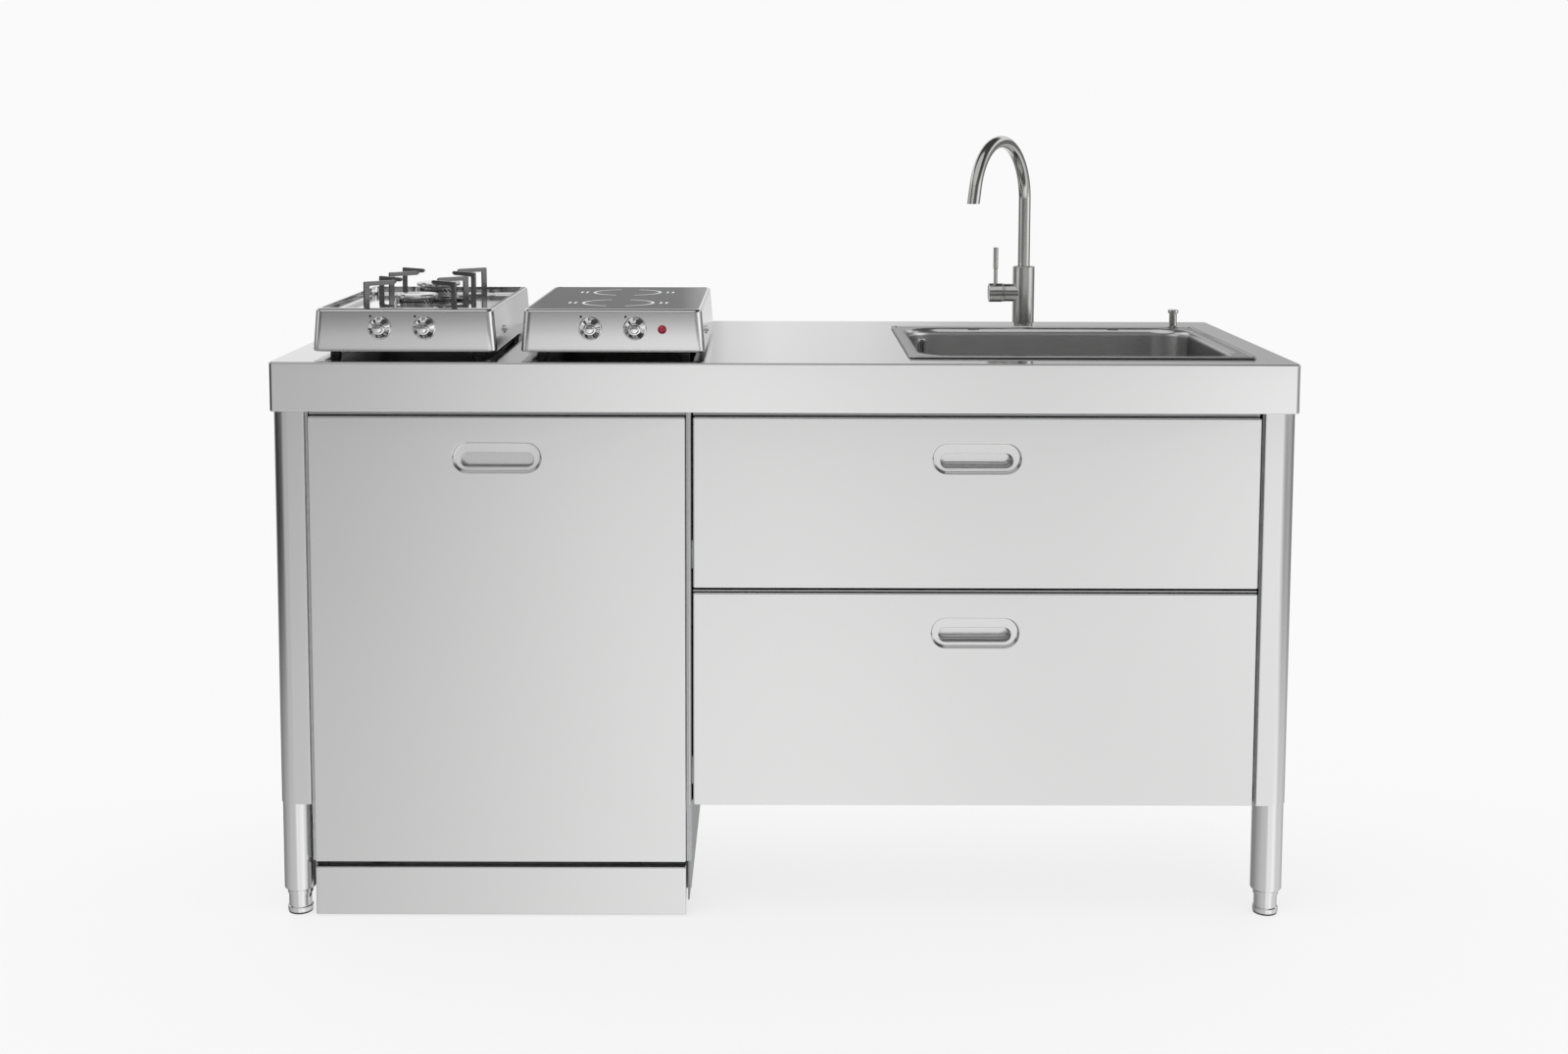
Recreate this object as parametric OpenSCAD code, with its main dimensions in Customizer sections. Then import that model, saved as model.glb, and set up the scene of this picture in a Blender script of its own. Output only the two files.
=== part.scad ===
// Free-standing stainless steel kitchen unit: a folded worktop on four round legs,
// with an inset sink and mixer tap, two tilting table hobs, two drawers
// and a drop-down dishwasher door over a flush plinth.
// Origin: middle of the unit, on the floor. X to the right, Y to the back, Z up.

/* [Worktop] */
// Width of the worktop
unit_w = 1600; // [1560:10:1700]
// Depth of the worktop
unit_d = 650; // [640:5:700]
// Height of the worktop above the floor
unit_h = 890; // [880:5:930]
// Height of the folded front edge
fascia_h = 78; // [60:1:80]
// Thickness of the worktop sheet
top_t = 1.5; // [1:0.1:2.5]
// Radius of the worktop's four upright corners
top_corner_r = 7; // [4:1:12]
// Width of the lip folded in under the edge
lip_w = 16; // [8:1:20]
// Thickness of the board bonded under the sheet
core_t = 20; // [15:1:25]

/* [Legs and panels] */
// Diameter of the leg tubes
tube_d = 49.4; // [44:0.2:52]
// Wall of the leg tubes
tube_wall = 1.5; // [1:0.1:3]
// Thickness of the panel sheet
sheet_t = 1; // [0.8:0.1:1.5]
// Height of the side panels' lower edge above the floor
panel_z = 184; // [170:1:195]
// Height of the tube's lower end above the floor
tube_z = 41; // [36:1:60]
// Diameter of the levelling feet
foot_d = 40; // [34:1:44]
// Thickness of the black glide under each foot
glide_t = 3; // [2:0.5:5]
// Distance that the fronts and posts stand behind the worktop edge
setback = 6; // [3:1:10]

/* [Fronts] */
// Clear width of the dishwasher bay
bay_w = 598; // [590:1:620]
// Thickness of the partition between the bays
partition_t = 1.5; // [1:0.1:3]
// Gap beside each front
reveal = 5; // [4:0.5:7]
// Gap between the worktop edge and the fronts
top_gap = 10; // [7:1:12]
// Gap between the two drawer fronts
front_gap = 9; // [6:1:12]
// Thickness of the fronts
front_t = 18; // [16:1:20]
// Height of the upper drawer front
upper_front_h = 268; // [255:1:275]
// Height of the dishwasher door
door_h = 712; // [705:1:716]
// Gap between the door and the plinth
plinth_gap = 8; // [7:1:11]
// Gap between the plinth and the floor
plinth_z = 4; // [2:1:10]
// Width of a pull recess
pull_w = 141; // [120:1:170]
// Height of a pull recess
pull_h = 50; // [44:1:60]
// Depth of a pull recess
pull_deep = 6; // [3:0.5:9]
// Depth of the finger cup behind a front
cup_deep = 14; // [10:1:16]
// Width of the finger slot in a pull
slot_w = 116; // [90:1:118]
// Height of the finger slot in a pull
slot_h = 25; // [20:1:28]
// Distance from the upper edge of a front down to its pull
pull_down = 37; // [30:1:45]

/* [Drawers] */
// Length of the drawer slides
slide_l = 480; // [440:5:500]
// Height of the drawer slides
slide_h = 45; // [38:1:50]
// Space that a slide takes on each side of a drawer
slide_space = 13; // [12.5:0.1:15]
// Height of the upper drawer's box
upper_box_h = 120; // [90:1:125]
// Height of the lower drawer's box
lower_box_h = 245; // [180:5:248]
// Sheet thickness of the drawer boxes
box_t = 1.2; // [1:0.1:2]
// Width of the space round the trap in the upper drawer
trap_space_w = 200; // [170:5:240]

/* [Sink] */
// Width of the sink over its flange
sink_w = 550; // [520:5:580]
// Depth of the sink over its flange
sink_d = 465; // [440:5:475]
// Width of the flange round the bowl
flange_w = 22; // [20:1:30]
// Height of the flange's raised border
flange_h = 3; // [2:0.5:5]
// Distance from the worktop's right end to the flange
sink_right = 52; // [40:1:60]
// Distance from the worktop's front edge to the flange
sink_front = 66; // [62:1:75]
// Depth of the bowl
bowl_deep = 180; // [150:5:190]
// Radius of the bowl's upright corners
bowl_r = 60; // [50:1:72]
// Thickness of the bowl sheet
bowl_t = 1; // [0.8:0.1:1.5]
// Diameter of the waste fitting's rim in the bowl
waste_d = 90; // [84:1:100]
// Distance from the bowl's back wall to the middle of the waste
waste_back = 114; // [100:1:130]
// Outer diameter of the waste pipe
pipe_d = 40; // [32:1:50]
// Height of the waste outlet above the floor
outlet_z = 600; // [590:1:610]

/* [Tap] */
// Place of the tap, left of the sink's middle
tap_left = 31; // [0:1:60]
// Distance from the back of the flange to the middle of the tap
tap_back = 27.5; // [24:0.5:50]
// Diameter of the tap body
tap_d = 40; // [36:1:46]
// Height of the tap body over its base ring
tap_h = 104; // [95:1:130]
// Height of the tap's base ring
ring_h = 8; // [5:1:12]
// Diameter of the spout tube
spout_d = 22; // [18:1:26]
// Radius of the spout's bow
bow_r = 105; // [90:1:125]
// Straight height of the spout above the tap body
spout_rise = 124; // [100:1:160]
// Angle of the spout's bow
bow_angle = 165; // [150:1:178]
// Straight length at the end of the spout
tip_l = 30; // [15:1:45]
// Direction that the spout points to, from the left towards the front
spout_turn = 58; // [0:1:90]
// Diameter of the side hub and its cap
hub_d = 35; // [32:1:38]
// Height of the hub's middle above the worktop
hub_z = 63; // [55:1:80]
// Length of the hub beside the tap body
hub_l = 18; // [14:1:25]
// Length of the turning cap on the hub
cap_l = 25; // [22:1:32]
// Diameter of the lever pin's grip
lever_d = 9; // [7:0.5:10]
// Height of the lever pin above the cap
lever_h = 66; // [50:1:80]
// Diameter of the waste control knob
popup_d = 19; // [17:1:20]
// Height of the waste control knob's stem
popup_h = 30; // [25:1:40]

/* [Hobs] */
// Width of each hob
hob_w = 292; // [280:1:300]
// Depth of each hob
hob_d = 430; // [410:5:440]
// Height of each hob's case
hob_h = 69; // [64:1:80]
// Height of the hobs' feet
hob_foot_h = 8; // [6:0.5:12]
// Diameter of the hobs' feet
hob_foot_d = 18; // [14:1:24]
// Distance from the worktop's front edge to the hobs
hob_front = 71; // [60:1:80]
// Distance from the worktop's left end to the gas hob
hob_left = 51; // [40:1:60]
// Gap between the two hobs
hob_gap = 38; // [30:1:45]
// Sheet thickness of the hob cases
case_t = 1.2; // [1:0.1:2]
// Width of the gas hob's rim round its tray
rim_w = 12; // [8:1:18]
// Depth of the gas hob's tray under the rim
tray_deep = 13; // [8:1:16]
// Width of the steel frame round the glass
glass_rim = 9; // [6:1:14]
// Thickness of the glass
glass_t = 5; // [4:0.5:6]
// Diameter of the front burner cap
front_cap_d = 68; // [55:1:74]
// Diameter of the rear burner cap
rear_cap_d = 75; // [60:1:80]
// Distance from the front of the gas hob to its front burner
burner_front = 115; // [105:1:125]
// Distance between the two burners
burner_pitch = 199; // [190:1:205]
// Height of the pan supports above the tray
support_h = 51; // [45:1:60]
// Distance from a burner's middle to its pan supports' posts
support_r = 96; // [88:1:100]
// Diameter of the knobs
knob_d = 37; // [32:1:42]
// Distance between the two knobs of a hob
knob_pitch = 70.6; // [60:0.2:80]
// Height of the knobs above the worktop
knob_z = 46; // [42:1:52]
// Diameter of the pilot lamp
lamp_d = 14; // [10:1:18]

/* [Dishwasher] */
// Thickness of the door's inner liner
liner_t = 30; // [24:1:34]
// Height of the door hinge above the door's lower edge
hinge_up = 50; // [46:1:56]
// Distance of the door hinge behind the door panel
hinge_in = 11; // [9:1:13]
// Diameter of the door hinge pins
door_pin_d = 8; // [6:1:10]
// Depth of the tub
tub_d = 530; // [500:5:550]
// Space between the tub and each side of its bay
tub_side = 9; // [7:1:20]
// Sheet thickness of the tub
tub_t = 1.5; // [1:0.1:2.5]
// Diameter of the rack wires
wire = 4; // [3:0.5:5]
// Radius of the spray arms
spray_r = 220; // [180:5:235]

/* [Hidden] */
$fn = 48;

// Running gap between a shaft and its hole, and between a piece and its seat
fit = 0.3;
// Wall of the finger cups
cup_t = 1.5;
left_x = -unit_w / 2;
right_x = unit_w / 2;
front_y = -unit_d / 2;
back_y = unit_d / 2;
face_y = front_y + setback;
rear_y = back_y - setback;
fascia_z = unit_h - fascia_h;
core_z = unit_h - top_t - core_t;
tube_r = tube_d / 2;
post_w = tube_d + 2 * (sheet_t + fit);
post_r = post_w / 2;
leg_x = right_x - post_r;
leg_y = -face_y - post_r;
bay_left = left_x + post_w;
bay_right = right_x - post_w;
bay_split = bay_left + bay_w;
drawers_x = bay_split + partition_t;
drawers_w = bay_right - drawers_x;
drawers_mid = (drawers_x + bay_right) / 2;
front_top = fascia_z - top_gap;
upper_front_z = front_top - upper_front_h;
lower_front_h = upper_front_z - front_gap - panel_z;
front_back_y = face_y + front_t;
back_panel_y = rear_y - 4;

flange_r = 8;
border_w = 4;
border_up = 1.5;
sink_x = right_x - sink_right - sink_w / 2;
sink_y = front_y + sink_front + sink_d / 2;
bowl_w = sink_w - 2 * flange_w;
bowl_d = sink_d - 2 * flange_w;
bowl_z = unit_h - bowl_deep;
waste_x = sink_x;
waste_y = sink_y + bowl_d / 2 - waste_back;
waste_hole = waste_d - 30;
trap_d = pipe_d + 28;
outlet_y = back_y - 1;
outlet_l = 40;
tap_x = sink_x - tap_left;
tap_y = sink_y + sink_d / 2 + tap_back;
tap_top = unit_h + ring_h + tap_h;
hub_axis_z = unit_h + hub_z;
cap_x = tap_x - tap_d / 2 - hub_l;
popup_x = sink_x + sink_w / 2 - 38;
popup_y = sink_y + sink_d / 2 - border_w - popup_d / 2 - fit;

// Rounded rectangle about the origin, with true arcs at its corners
module rounded(w, d, r) {
  square([w - 2 * r, d], center = true);
  square([w, d - 2 * r], center = true);
  for (x = [-1, 1], y = [-1, 1])
    translate([x * (w / 2 - r), y * (d / 2 - r)]) circle(r);
}

module block(x0, x1, y0, y1, z0, z1) {
  translate([x0, y0, z0]) cube([x1 - x0, y1 - y0, z1 - z0]);
}

// Slot shape lying along X
module stadium(w, h) {
  square([w - h, h], center = true);
  for (x = [-1, 1]) translate([x * (w - h) / 2, 0]) circle(h / 2);
}

module worktop() color("gainsboro") difference() {
  union() {
    difference() {
      translate([0, 0, fascia_z]) linear_extrude(fascia_h) rounded(unit_w, unit_d, top_corner_r);
      translate([0, 0, fascia_z - 1]) linear_extrude(fascia_h + 1 - top_t)
        rounded(unit_w - 2 * top_t, unit_d - 2 * top_t, top_corner_r - top_t);
    }
    // lip folded in all round, which stands on the posts and panels
    translate([0, 0, fascia_z]) linear_extrude(top_t) difference() {
      rounded(unit_w - top_t, unit_d - top_t, top_corner_r - top_t / 2);
      square([unit_w - 2 * (top_t + lip_w), unit_d - 2 * (top_t + lip_w)], center = true);
    }
  }
  sink_cutout(5, bowl_r - 10);
  translate([tap_x, tap_y, unit_h - 20]) cylinder(d = tap_d - 8, h = 40);
  translate([popup_x, popup_y, unit_h - 20]) cylinder(d = popup_d - 8, h = 40);
}

// Hole for the bowl, wider than the bowl by the given margin on each side
module sink_cutout(extra, r) {
  g = 2 * (bowl_t + 1 + extra);
  translate([sink_x, sink_y, core_z - 5]) linear_extrude(60) rounded(bowl_w + g, bowl_d + g, r);
}

module worktop_core() color("burlywood") difference() {
  translate([0, 0, core_z]) linear_extrude(core_t)
    rounded(unit_w - 2 * top_t - 2, unit_d - 2 * top_t - 2, top_corner_r - top_t - 1);
  sink_cutout(12, bowl_r + 14);
  translate([tap_x, tap_y, core_z - 5]) cylinder(d = tap_d - 8, h = 40);
  translate([popup_x, popup_y, core_z - 5]) cylinder(d = popup_d - 8, h = 40);
}

// Plan of a side panel: a sheet bent round both legs and closed on the inside
module panel_plan(w, d, r, x) {
  translate([x, 0]) {
    translate([0, -d / 2]) square([w / 2, d]);
    translate([-w / 2, -d / 2 + r]) square([w / 2, d - 2 * r]);
    for (y = [-1, 1]) translate([0, y * (d / 2 - r)]) circle(r);
  }
}

module side_panel() difference() {
  translate([0, 0, panel_z]) linear_extrude(fascia_z - panel_z)
    panel_plan(post_w, -2 * face_y, post_r, 0);
  translate([0, 0, panel_z - 1]) linear_extrude(fascia_z - panel_z + 2)
    panel_plan(post_w - 2 * sheet_t, -2 * face_y - 2 * sheet_t, post_r - sheet_t, 0);
}

module side_panel_left() color("silver") translate([-leg_x, 0, 0]) side_panel();
module side_panel_right() color("silver") translate([leg_x, 0, 0]) mirror([1, 0, 0]) side_panel();

stud_d = 12;
plug_h = 22;

// A tube with a threaded plug in its lower end for the foot's stud
module leg() difference() {
  translate([0, 0, tube_z]) cylinder(d = tube_d, h = fascia_z - tube_z);
  translate([0, 0, tube_z + plug_h]) cylinder(d = tube_d - 2 * tube_wall, h = core_z);
  translate([0, 0, tube_z - 1]) cylinder(d = stud_d + 2 * fit, h = plug_h + 2);
}

module leg_tubes() color("silver")
  for (x = [-1, 1], y = [-1, 1]) translate([x * leg_x, y * leg_y, 0]) leg();

// A levelling foot: glide, turned sleeve and stud in one stack
module foot(x, y) color("silver") translate([x * leg_x, y * leg_y, 0]) {
  cylinder(d = foot_d - 2, h = glide_t);
  translate([0, 0, glide_t]) cylinder(d = foot_d, h = tube_z - fit - glide_t);
  translate([0, 0, glide_t]) cylinder(d = stud_d, h = tube_z + plug_h + 30 - glide_t);
}
module foot_front_left() foot(-1, -1);
module foot_front_right() foot(1, -1);
module foot_rear_left() foot(-1, 1);
module foot_rear_right() foot(1, 1);

// Partition between the bays, notched round the worktop's lips
module partition_panel() color("silver") {
  block(bay_split, drawers_x, face_y + 2, back_panel_y, panel_z, fascia_z);
  block(bay_split, drawers_x, front_y + top_t + lip_w + 1, back_y - top_t - lip_w - 1, fascia_z - 1, core_z);
}

module back_panel() color("lightgray") difference() {
  block(bay_left, bay_right, back_panel_y, back_panel_y + sheet_t, panel_z, fascia_z);
  translate([waste_x, 0, outlet_z]) rotate([-90, 0, 0]) cylinder(d = pipe_d + 30, h = unit_d);
  wall_holes();
}

module cabinet_floor() color("lightgray")
  block(drawers_x, bay_right, front_back_y + 2, back_panel_y, panel_z, panel_z + sheet_t);

rail_h = 50;
rail_t = 25;
wall_hole_d = 9;
wall_hole_pitch = 350;

module wall_holes() for (i = [-1.5 : 1.5])
  translate([i * wall_hole_pitch, 0, fascia_z - rail_h / 2]) rotate([-90, 0, 0])
    cylinder(d = wall_hole_d, h = unit_d);

// Cross rails: one under the board at the front, one behind the back panel's top with wall fixing holes
module cross_rails() color("gray") {
  block(bay_left, bay_split, front_y + 30, front_y + 30 + rail_t, core_z - 30, core_z);
  block(drawers_x, bay_right, front_y + 30, front_y + 30 + rail_t, core_z - 30, core_z);
  difference() {
    union() {
      block(bay_left, bay_split, back_panel_y - rail_t, back_panel_y, fascia_z - rail_h, fascia_z);
      block(drawers_x, bay_right, back_panel_y - rail_t, back_panel_y, fascia_z - rail_h, fascia_z);
    }
    wall_holes();
  }
}

// Inset sink: flange with a raised border, and a bowl with round upright corners
module sink_bowl() color("silver") translate([sink_x, sink_y, 0]) difference() {
  union() {
    translate([0, 0, unit_h]) linear_extrude(flange_h) rounded(sink_w, sink_d, flange_r);
    translate([0, 0, bowl_z - bowl_t]) linear_extrude(bowl_deep + bowl_t + 1)
      rounded(bowl_w + 2 * bowl_t, bowl_d + 2 * bowl_t, bowl_r + bowl_t);
  }
  translate([0, 0, unit_h + flange_h - border_up]) linear_extrude(10)
    rounded(sink_w - 2 * border_w, sink_d - 2 * border_w, flange_r - 2);
  translate([0, 0, bowl_z]) linear_extrude(bowl_deep + 50) rounded(bowl_w, bowl_d, bowl_r);
  translate([waste_x - sink_x, waste_y - sink_y, bowl_z - 10]) cylinder(d = waste_hole + 4, h = 20);
  translate([popup_x - sink_x, popup_y - sink_y, unit_h - 1]) cylinder(d = 10, h = 20);
  overflow_place() cylinder(d = 16, h = 30, center = true);
}

// Middle of the overflow on the bowl's back left corner, its Z axis out of the bowl
overflow_tilt = 30;
overflow_down = 32;
module overflow_place()
  translate([-bowl_w / 2 + bowl_r, bowl_d / 2 - bowl_r, unit_h - overflow_down])
    rotate([0, 0, 90 + overflow_tilt]) translate([bowl_r, 0, 0]) rotate([0, 90, 0]) children();

module overflow_cover() color("silver") translate([sink_x, sink_y, 0]) overflow_place() {
  difference() {
    translate([0, 0, -3.3]) linear_extrude(1.8) stadium(34, 18);
    translate([0, 0, -5]) linear_extrude(10) stadium(20, 6);
  }
  difference() {
    translate([0, 0, -2]) cylinder(d = 15.4, h = 14);
    translate([0, 0, -5]) cylinder(d = 12, h = 30);
  }
}

// Clamps that hold the flange down on the board
module sink_clamps() color("gray") for (x = [-1, 1], s = [0, 1])
  translate([sink_x + x * bowl_w / 4 - 10, sink_y, 0]) mirror([0, s, 0])
    translate([0, bowl_d / 2 + bowl_t + fit, core_z - 3]) {
      cube([20, 30, 3]);
      cube([20, 4, core_t + 3 + top_t]);
    }

module drain_body() color("silver") translate([waste_x, waste_y, 0]) difference() {
  union() {
    translate([0, 0, bowl_z]) cylinder(d = waste_d, h = 1.5);
    translate([0, 0, bowl_z - 40]) cylinder(d = waste_hole + 3, h = 40.5);
    translate([0, 0, bowl_z - bowl_t - 8]) cylinder(d = waste_d, h = 8);
    translate([0, 0, bowl_z - 70]) cylinder(d = pipe_d - 4, h = 35);
  }
  translate([0, 0, bowl_z - 37]) cylinder(d = waste_hole - 2, h = 60);
  translate([0, 0, bowl_z - 80]) cylinder(d = pipe_d - 8, h = 60);
}

module drain_trap() color("whitesmoke") {
  translate([waste_x, waste_y, 0]) difference() {
    union() {
      translate([0, 0, outlet_z - 75]) cylinder(d = trap_d, h = 105);
      translate([0, 0, outlet_z + 29]) cylinder(d = pipe_d, h = bowl_z - 45 - outlet_z - 29);
      translate([0, 0, outlet_z]) rotate([-90, 0, 0]) cylinder(d = pipe_d, h = outlet_y - waste_y);
      // collar that a coupling on the plain end comes up against
      translate([0, outlet_y - waste_y - outlet_l - 8, outlet_z]) rotate([-90, 0, 0])
        cylinder(d = pipe_d + 10, h = 8);
    }
    translate([0, 0, outlet_z - 71]) cylinder(d = trap_d - 6, h = 97);
    translate([0, 0, outlet_z + 20]) cylinder(d = pipe_d - 4 + 2 * fit, h = 200);
    translate([0, trap_d / 2 - 8, outlet_z]) rotate([-90, 0, 0]) cylinder(d = pipe_d - 6, h = unit_d);
  }
  overflow_hose();
}

hose_d = 16;

// Straight length of hose between two points, with a round coupling at its end
module hose_run(a, b, elbow = true) {
  v = b - a;
  flat = sqrt(v[0] * v[0] + v[1] * v[1]);
  translate(a) rotate([0, atan2(flat, v[2]), atan2(v[1], v[0])]) cylinder(d = hose_d, h = norm(v));
  if (elbow) translate(b) cylinder(d = hose_d + 4, h = hose_d + 4, center = true);
}

// Overflow hose from behind the bowl's corner, down and across to the waste
module overflow_hose() {
  a = 90 + overflow_tilt;
  cx = sink_x - bowl_w / 2 + bowl_r;
  cy = sink_y + bowl_d / 2 - bowl_r;
  z0 = unit_h - overflow_down;
  z1 = bowl_z - 26;
  r0 = bowl_r + 12;
  r1 = bowl_r + 26;
  waste_side = waste_x - (waste_hole + 3) / 2 - fit;
  start = [cx + r0 * cos(a), cy + r0 * sin(a), z0];
  bend = [cx + r1 * cos(a), cy + r1 * sin(a), z0];
  low = [bend[0], bend[1], z1];
  inner = [waste_side - 30, waste_y, z1];
  hose_run(start, bend);
  hose_run(bend, low);
  hose_run(low, inner);
  hose_run(inner, [waste_side, waste_y, z1], false);
}

module waste_plug() color("silver") translate([waste_x, waste_y, 0]) {
  translate([0, 0, bowl_z + 1.5 + fit]) cylinder(d = waste_hole + 6, h = 3);
  translate([0, 0, bowl_z - 28]) cylinder(d = 8, h = 31);
}

module popup_guide() color("silver") translate([popup_x, popup_y, 0]) difference() {
  union() {
    translate([0, 0, unit_h + flange_h - 1.5]) cylinder(d = popup_d, h = 4);
    translate([0, 0, unit_h - 45]) cylinder(d = 9.4, h = 46 + flange_h);
    translate([0, 0, core_z - 4]) cylinder(d = popup_d + 8, h = 4);
  }
  translate([0, 0, unit_h - 50]) cylinder(d = 6 + 2 * fit, h = 80);
}

module popup_knob() color("silver")
  translate([popup_x, popup_y, unit_h + flange_h + 2.5 + fit]) {
    cylinder(d = 14, h = popup_h - 6);
    translate([0, 0, popup_h - 6]) cylinder(d = popup_d, h = 6);
    translate([0, 0, -55]) cylinder(d = 6, h = 56);
  }

module tap_base_ring() color("silver") translate([tap_x, tap_y, unit_h]) difference() {
  cylinder(d = tap_d - 4, h = ring_h);
  translate([0, 0, -1]) cylinder(d = 24 + 2 * fit, h = ring_h + 2);
}

bore_d = 15;
spigot_l = 50;
hub_bore = 12;

module tap_body() color("silver") difference() {
  union() {
    translate([tap_x, tap_y, unit_h + ring_h]) cylinder(d = tap_d, h = tap_h);
    translate([cap_x, tap_y, hub_axis_z]) rotate([0, 90, 0]) cylinder(d = hub_d - 0.6, h = tap_x - cap_x);
  }
  translate([tap_x, tap_y, tap_top - spigot_l - 1]) cylinder(d = bore_d + 2 * fit, h = spigot_l + 2);
  translate([cap_x - 1, tap_y, hub_axis_z]) rotate([0, 90, 0])
    cylinder(d = hub_bore + 2 * fit, h = hub_l + tap_d / 2);
  translate([tap_x, tap_y, unit_h + ring_h - 1]) cylinder(d = 20, h = 8);
}

// Threaded shank under the tap, with the washer and nut that clamp it to the board
module tap_shank() color("goldenrod") translate([tap_x, tap_y, 0]) difference() {
  union() {
    translate([0, 0, core_z - 35]) cylinder(d = 24, h = unit_h + ring_h - core_z + 35);
    translate([0, 0, core_z - 3]) cylinder(d = 50, h = 3);
    translate([0, 0, core_z - 13]) cylinder(d = 38, h = 10, $fn = 6);
  }
  translate([0, 0, core_z - 40]) cylinder(d = 18, h = 200);
}

// Swan-neck spout with the spigot that turns in the tap body
module spout() color("silver") translate([tap_x, tap_y, 0]) rotate([0, 0, 180 + spout_turn]) {
  rise_top = tap_top + spout_rise;
  translate([0, 0, tap_top - spigot_l]) cylinder(d = bore_d, h = spigot_l + 1);
  translate([0, 0, tap_top + fit]) cylinder(d = spout_d, h = spout_rise - fit);
  // the bow's tube is a hair thinner than the straight lengths that it is welded to
  translate([bow_r, 0, rise_top - 1]) rotate([90, 0, 0]) rotate([0, 0, 180 - bow_angle])
    rotate_extrude(angle = bow_angle) translate([bow_r, 0]) circle(d = spout_d - 0.2);
  spout_end() difference() {
    translate([0, 0, -1]) cylinder(d = spout_d, h = tip_l + 1);
    translate([0, 0, tip_l - 6]) cylinder(d = spout_d - 4, h = 10);
  }
  // aerator in the mouth
  spout_end() translate([0, 0, tip_l - 8]) cylinder(d = spout_d - 6, h = 7);
}

// Places its children at the end of the bow, their Z axis along the water
module spout_end()
  translate([bow_r - bow_r * cos(bow_angle), 0, tap_top + spout_rise - 1 + bow_r * sin(bow_angle)])
    rotate([0, bow_angle, 0]) children();

cap_gap = 1;
lever_x = cap_x - cap_gap - cap_l / 2;
lever_root_d = lever_d - 2;
lever_slot = lever_root_d + 2 * fit;
cross_d = 3;
cross_l = hub_d - 5;

module lever_cap() color("silver") translate([0, tap_y, hub_axis_z]) difference() {
  union() {
    translate([cap_x - cap_gap - cap_l, 0, 0]) rotate([0, 90, 0]) cylinder(d = hub_d, h = cap_l);
    translate([cap_x - cap_gap - 1, 0, 0]) rotate([0, 90, 0]) cylinder(d = hub_bore, h = cap_gap + 1 + hub_l);
  }
  block(lever_x - lever_slot / 2 - 7, lever_x + lever_slot / 2, -lever_slot / 2, lever_slot / 2,
        -lever_slot / 2, hub_d);
  translate([lever_x, 0, 0]) rotate([90, 0, 0]) cylinder(d = cross_d + 2 * fit, h = cross_l + 1, center = true);
}

// Lever pin on the cross pin that it tips on
module lever_pin() color("silver") translate([lever_x, tap_y, hub_axis_z]) {
  sphere(d = lever_root_d);
  rotate([90, 0, 0]) cylinder(d = cross_d, h = cross_l, center = true);
  cylinder(d = lever_root_d, h = hub_d / 2 + lever_h * 0.4);
  translate([0, 0, hub_d / 2 + lever_h * 0.4]) cylinder(d = lever_d, h = lever_h * 0.6);
}

// Folded front with its pressed pull: a shallow recess with a finger slot,
// which ends on a drawer in a cup behind the front and on the door in its liner
module front_panel(x0, x1, z0, z1, cup) {
  pull_at = [(x0 + x1) / 2, 0, z1 - pull_down - pull_h / 2];
  slot_at = [0, -(pull_h - slot_h) / 2 + 8.5, 0];
  difference() {
    union() {
      block(x0, x1, face_y, face_y + front_t, z0, z1);
      if (cup) translate(pull_at) rotate([90, 0, 0]) translate(slot_at)
        translate([0, 0, -front_back_y - cup_deep - cup_t]) linear_extrude(cup_deep + cup_t + 1)
          stadium(slot_w + 2 * cup_t, slot_h + 2 * cup_t);
    }
    translate(pull_at) rotate([90, 0, 0]) {
      translate([0, 0, -face_y - pull_deep]) linear_extrude(pull_deep + 1) stadium(pull_w, pull_h);
      translate(slot_at) translate([0, 0, -front_back_y - cup_deep])
        linear_extrude(front_t + cup_deep + 1) stadium(slot_w, slot_h);
    }
  }
}

module upper_drawer_front() color("silver")
  front_panel(drawers_x + reveal, bay_right - reveal, upper_front_z, front_top, true);
module lower_drawer_front() color("silver")
  front_panel(drawers_x + reveal, bay_right - reveal, panel_z, panel_z + lower_front_h, true);

box_x0 = drawers_x + slide_space;
box_x1 = bay_right - slide_space;
upper_box_z = upper_front_z + 12;
lower_box_z = panel_z + sheet_t + 12;
slide_up = 15;
box_y1 = front_back_y + slide_l;

module box_shell(z, h) difference() {
  block(box_x0, box_x1, front_back_y, box_y1, z, z + h);
  block(box_x0 + box_t, box_x1 - box_t, front_back_y + box_t, box_y1 - box_t, z + box_t, z + h + 1);
}

// The upper drawer goes round the trap: its back has a deep bay with its own walls
module upper_drawer_box() color("lightgray") {
  ax = waste_x - trap_space_w / 2;
  bx = waste_x + trap_space_w / 2;
  ay = waste_y - trap_space_w / 2;
  top = upper_box_z + upper_box_h;
  difference() {
    union() {
      box_shell(upper_box_z, upper_box_h);
      block(ax - box_t, bx + box_t, ay - box_t, box_y1, upper_box_z, top);
    }
    block(ax, bx, ay, box_y1 + 1, upper_box_z - 1, top + 1);
  }
}

module lower_drawer_box() color("lightgray") box_shell(lower_box_z, lower_box_h);

track_t = 2;
track_lip = 8;

// Moving member on each side of a drawer box
module drawer_slides(z) for (s = [0, 1]) {
  x0 = s == 0 ? drawers_x + track_t + fit : box_x1;
  x1 = s == 0 ? box_x0 : bay_right - track_t - fit;
  block(x0, x1, front_back_y, box_y1, z + slide_up + track_t + fit, z + slide_up + slide_h - track_t - fit);
}
module upper_drawer_slides() color("gray") drawer_slides(upper_box_z);
module lower_drawer_slides() color("gray") drawer_slides(lower_box_z);

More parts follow.
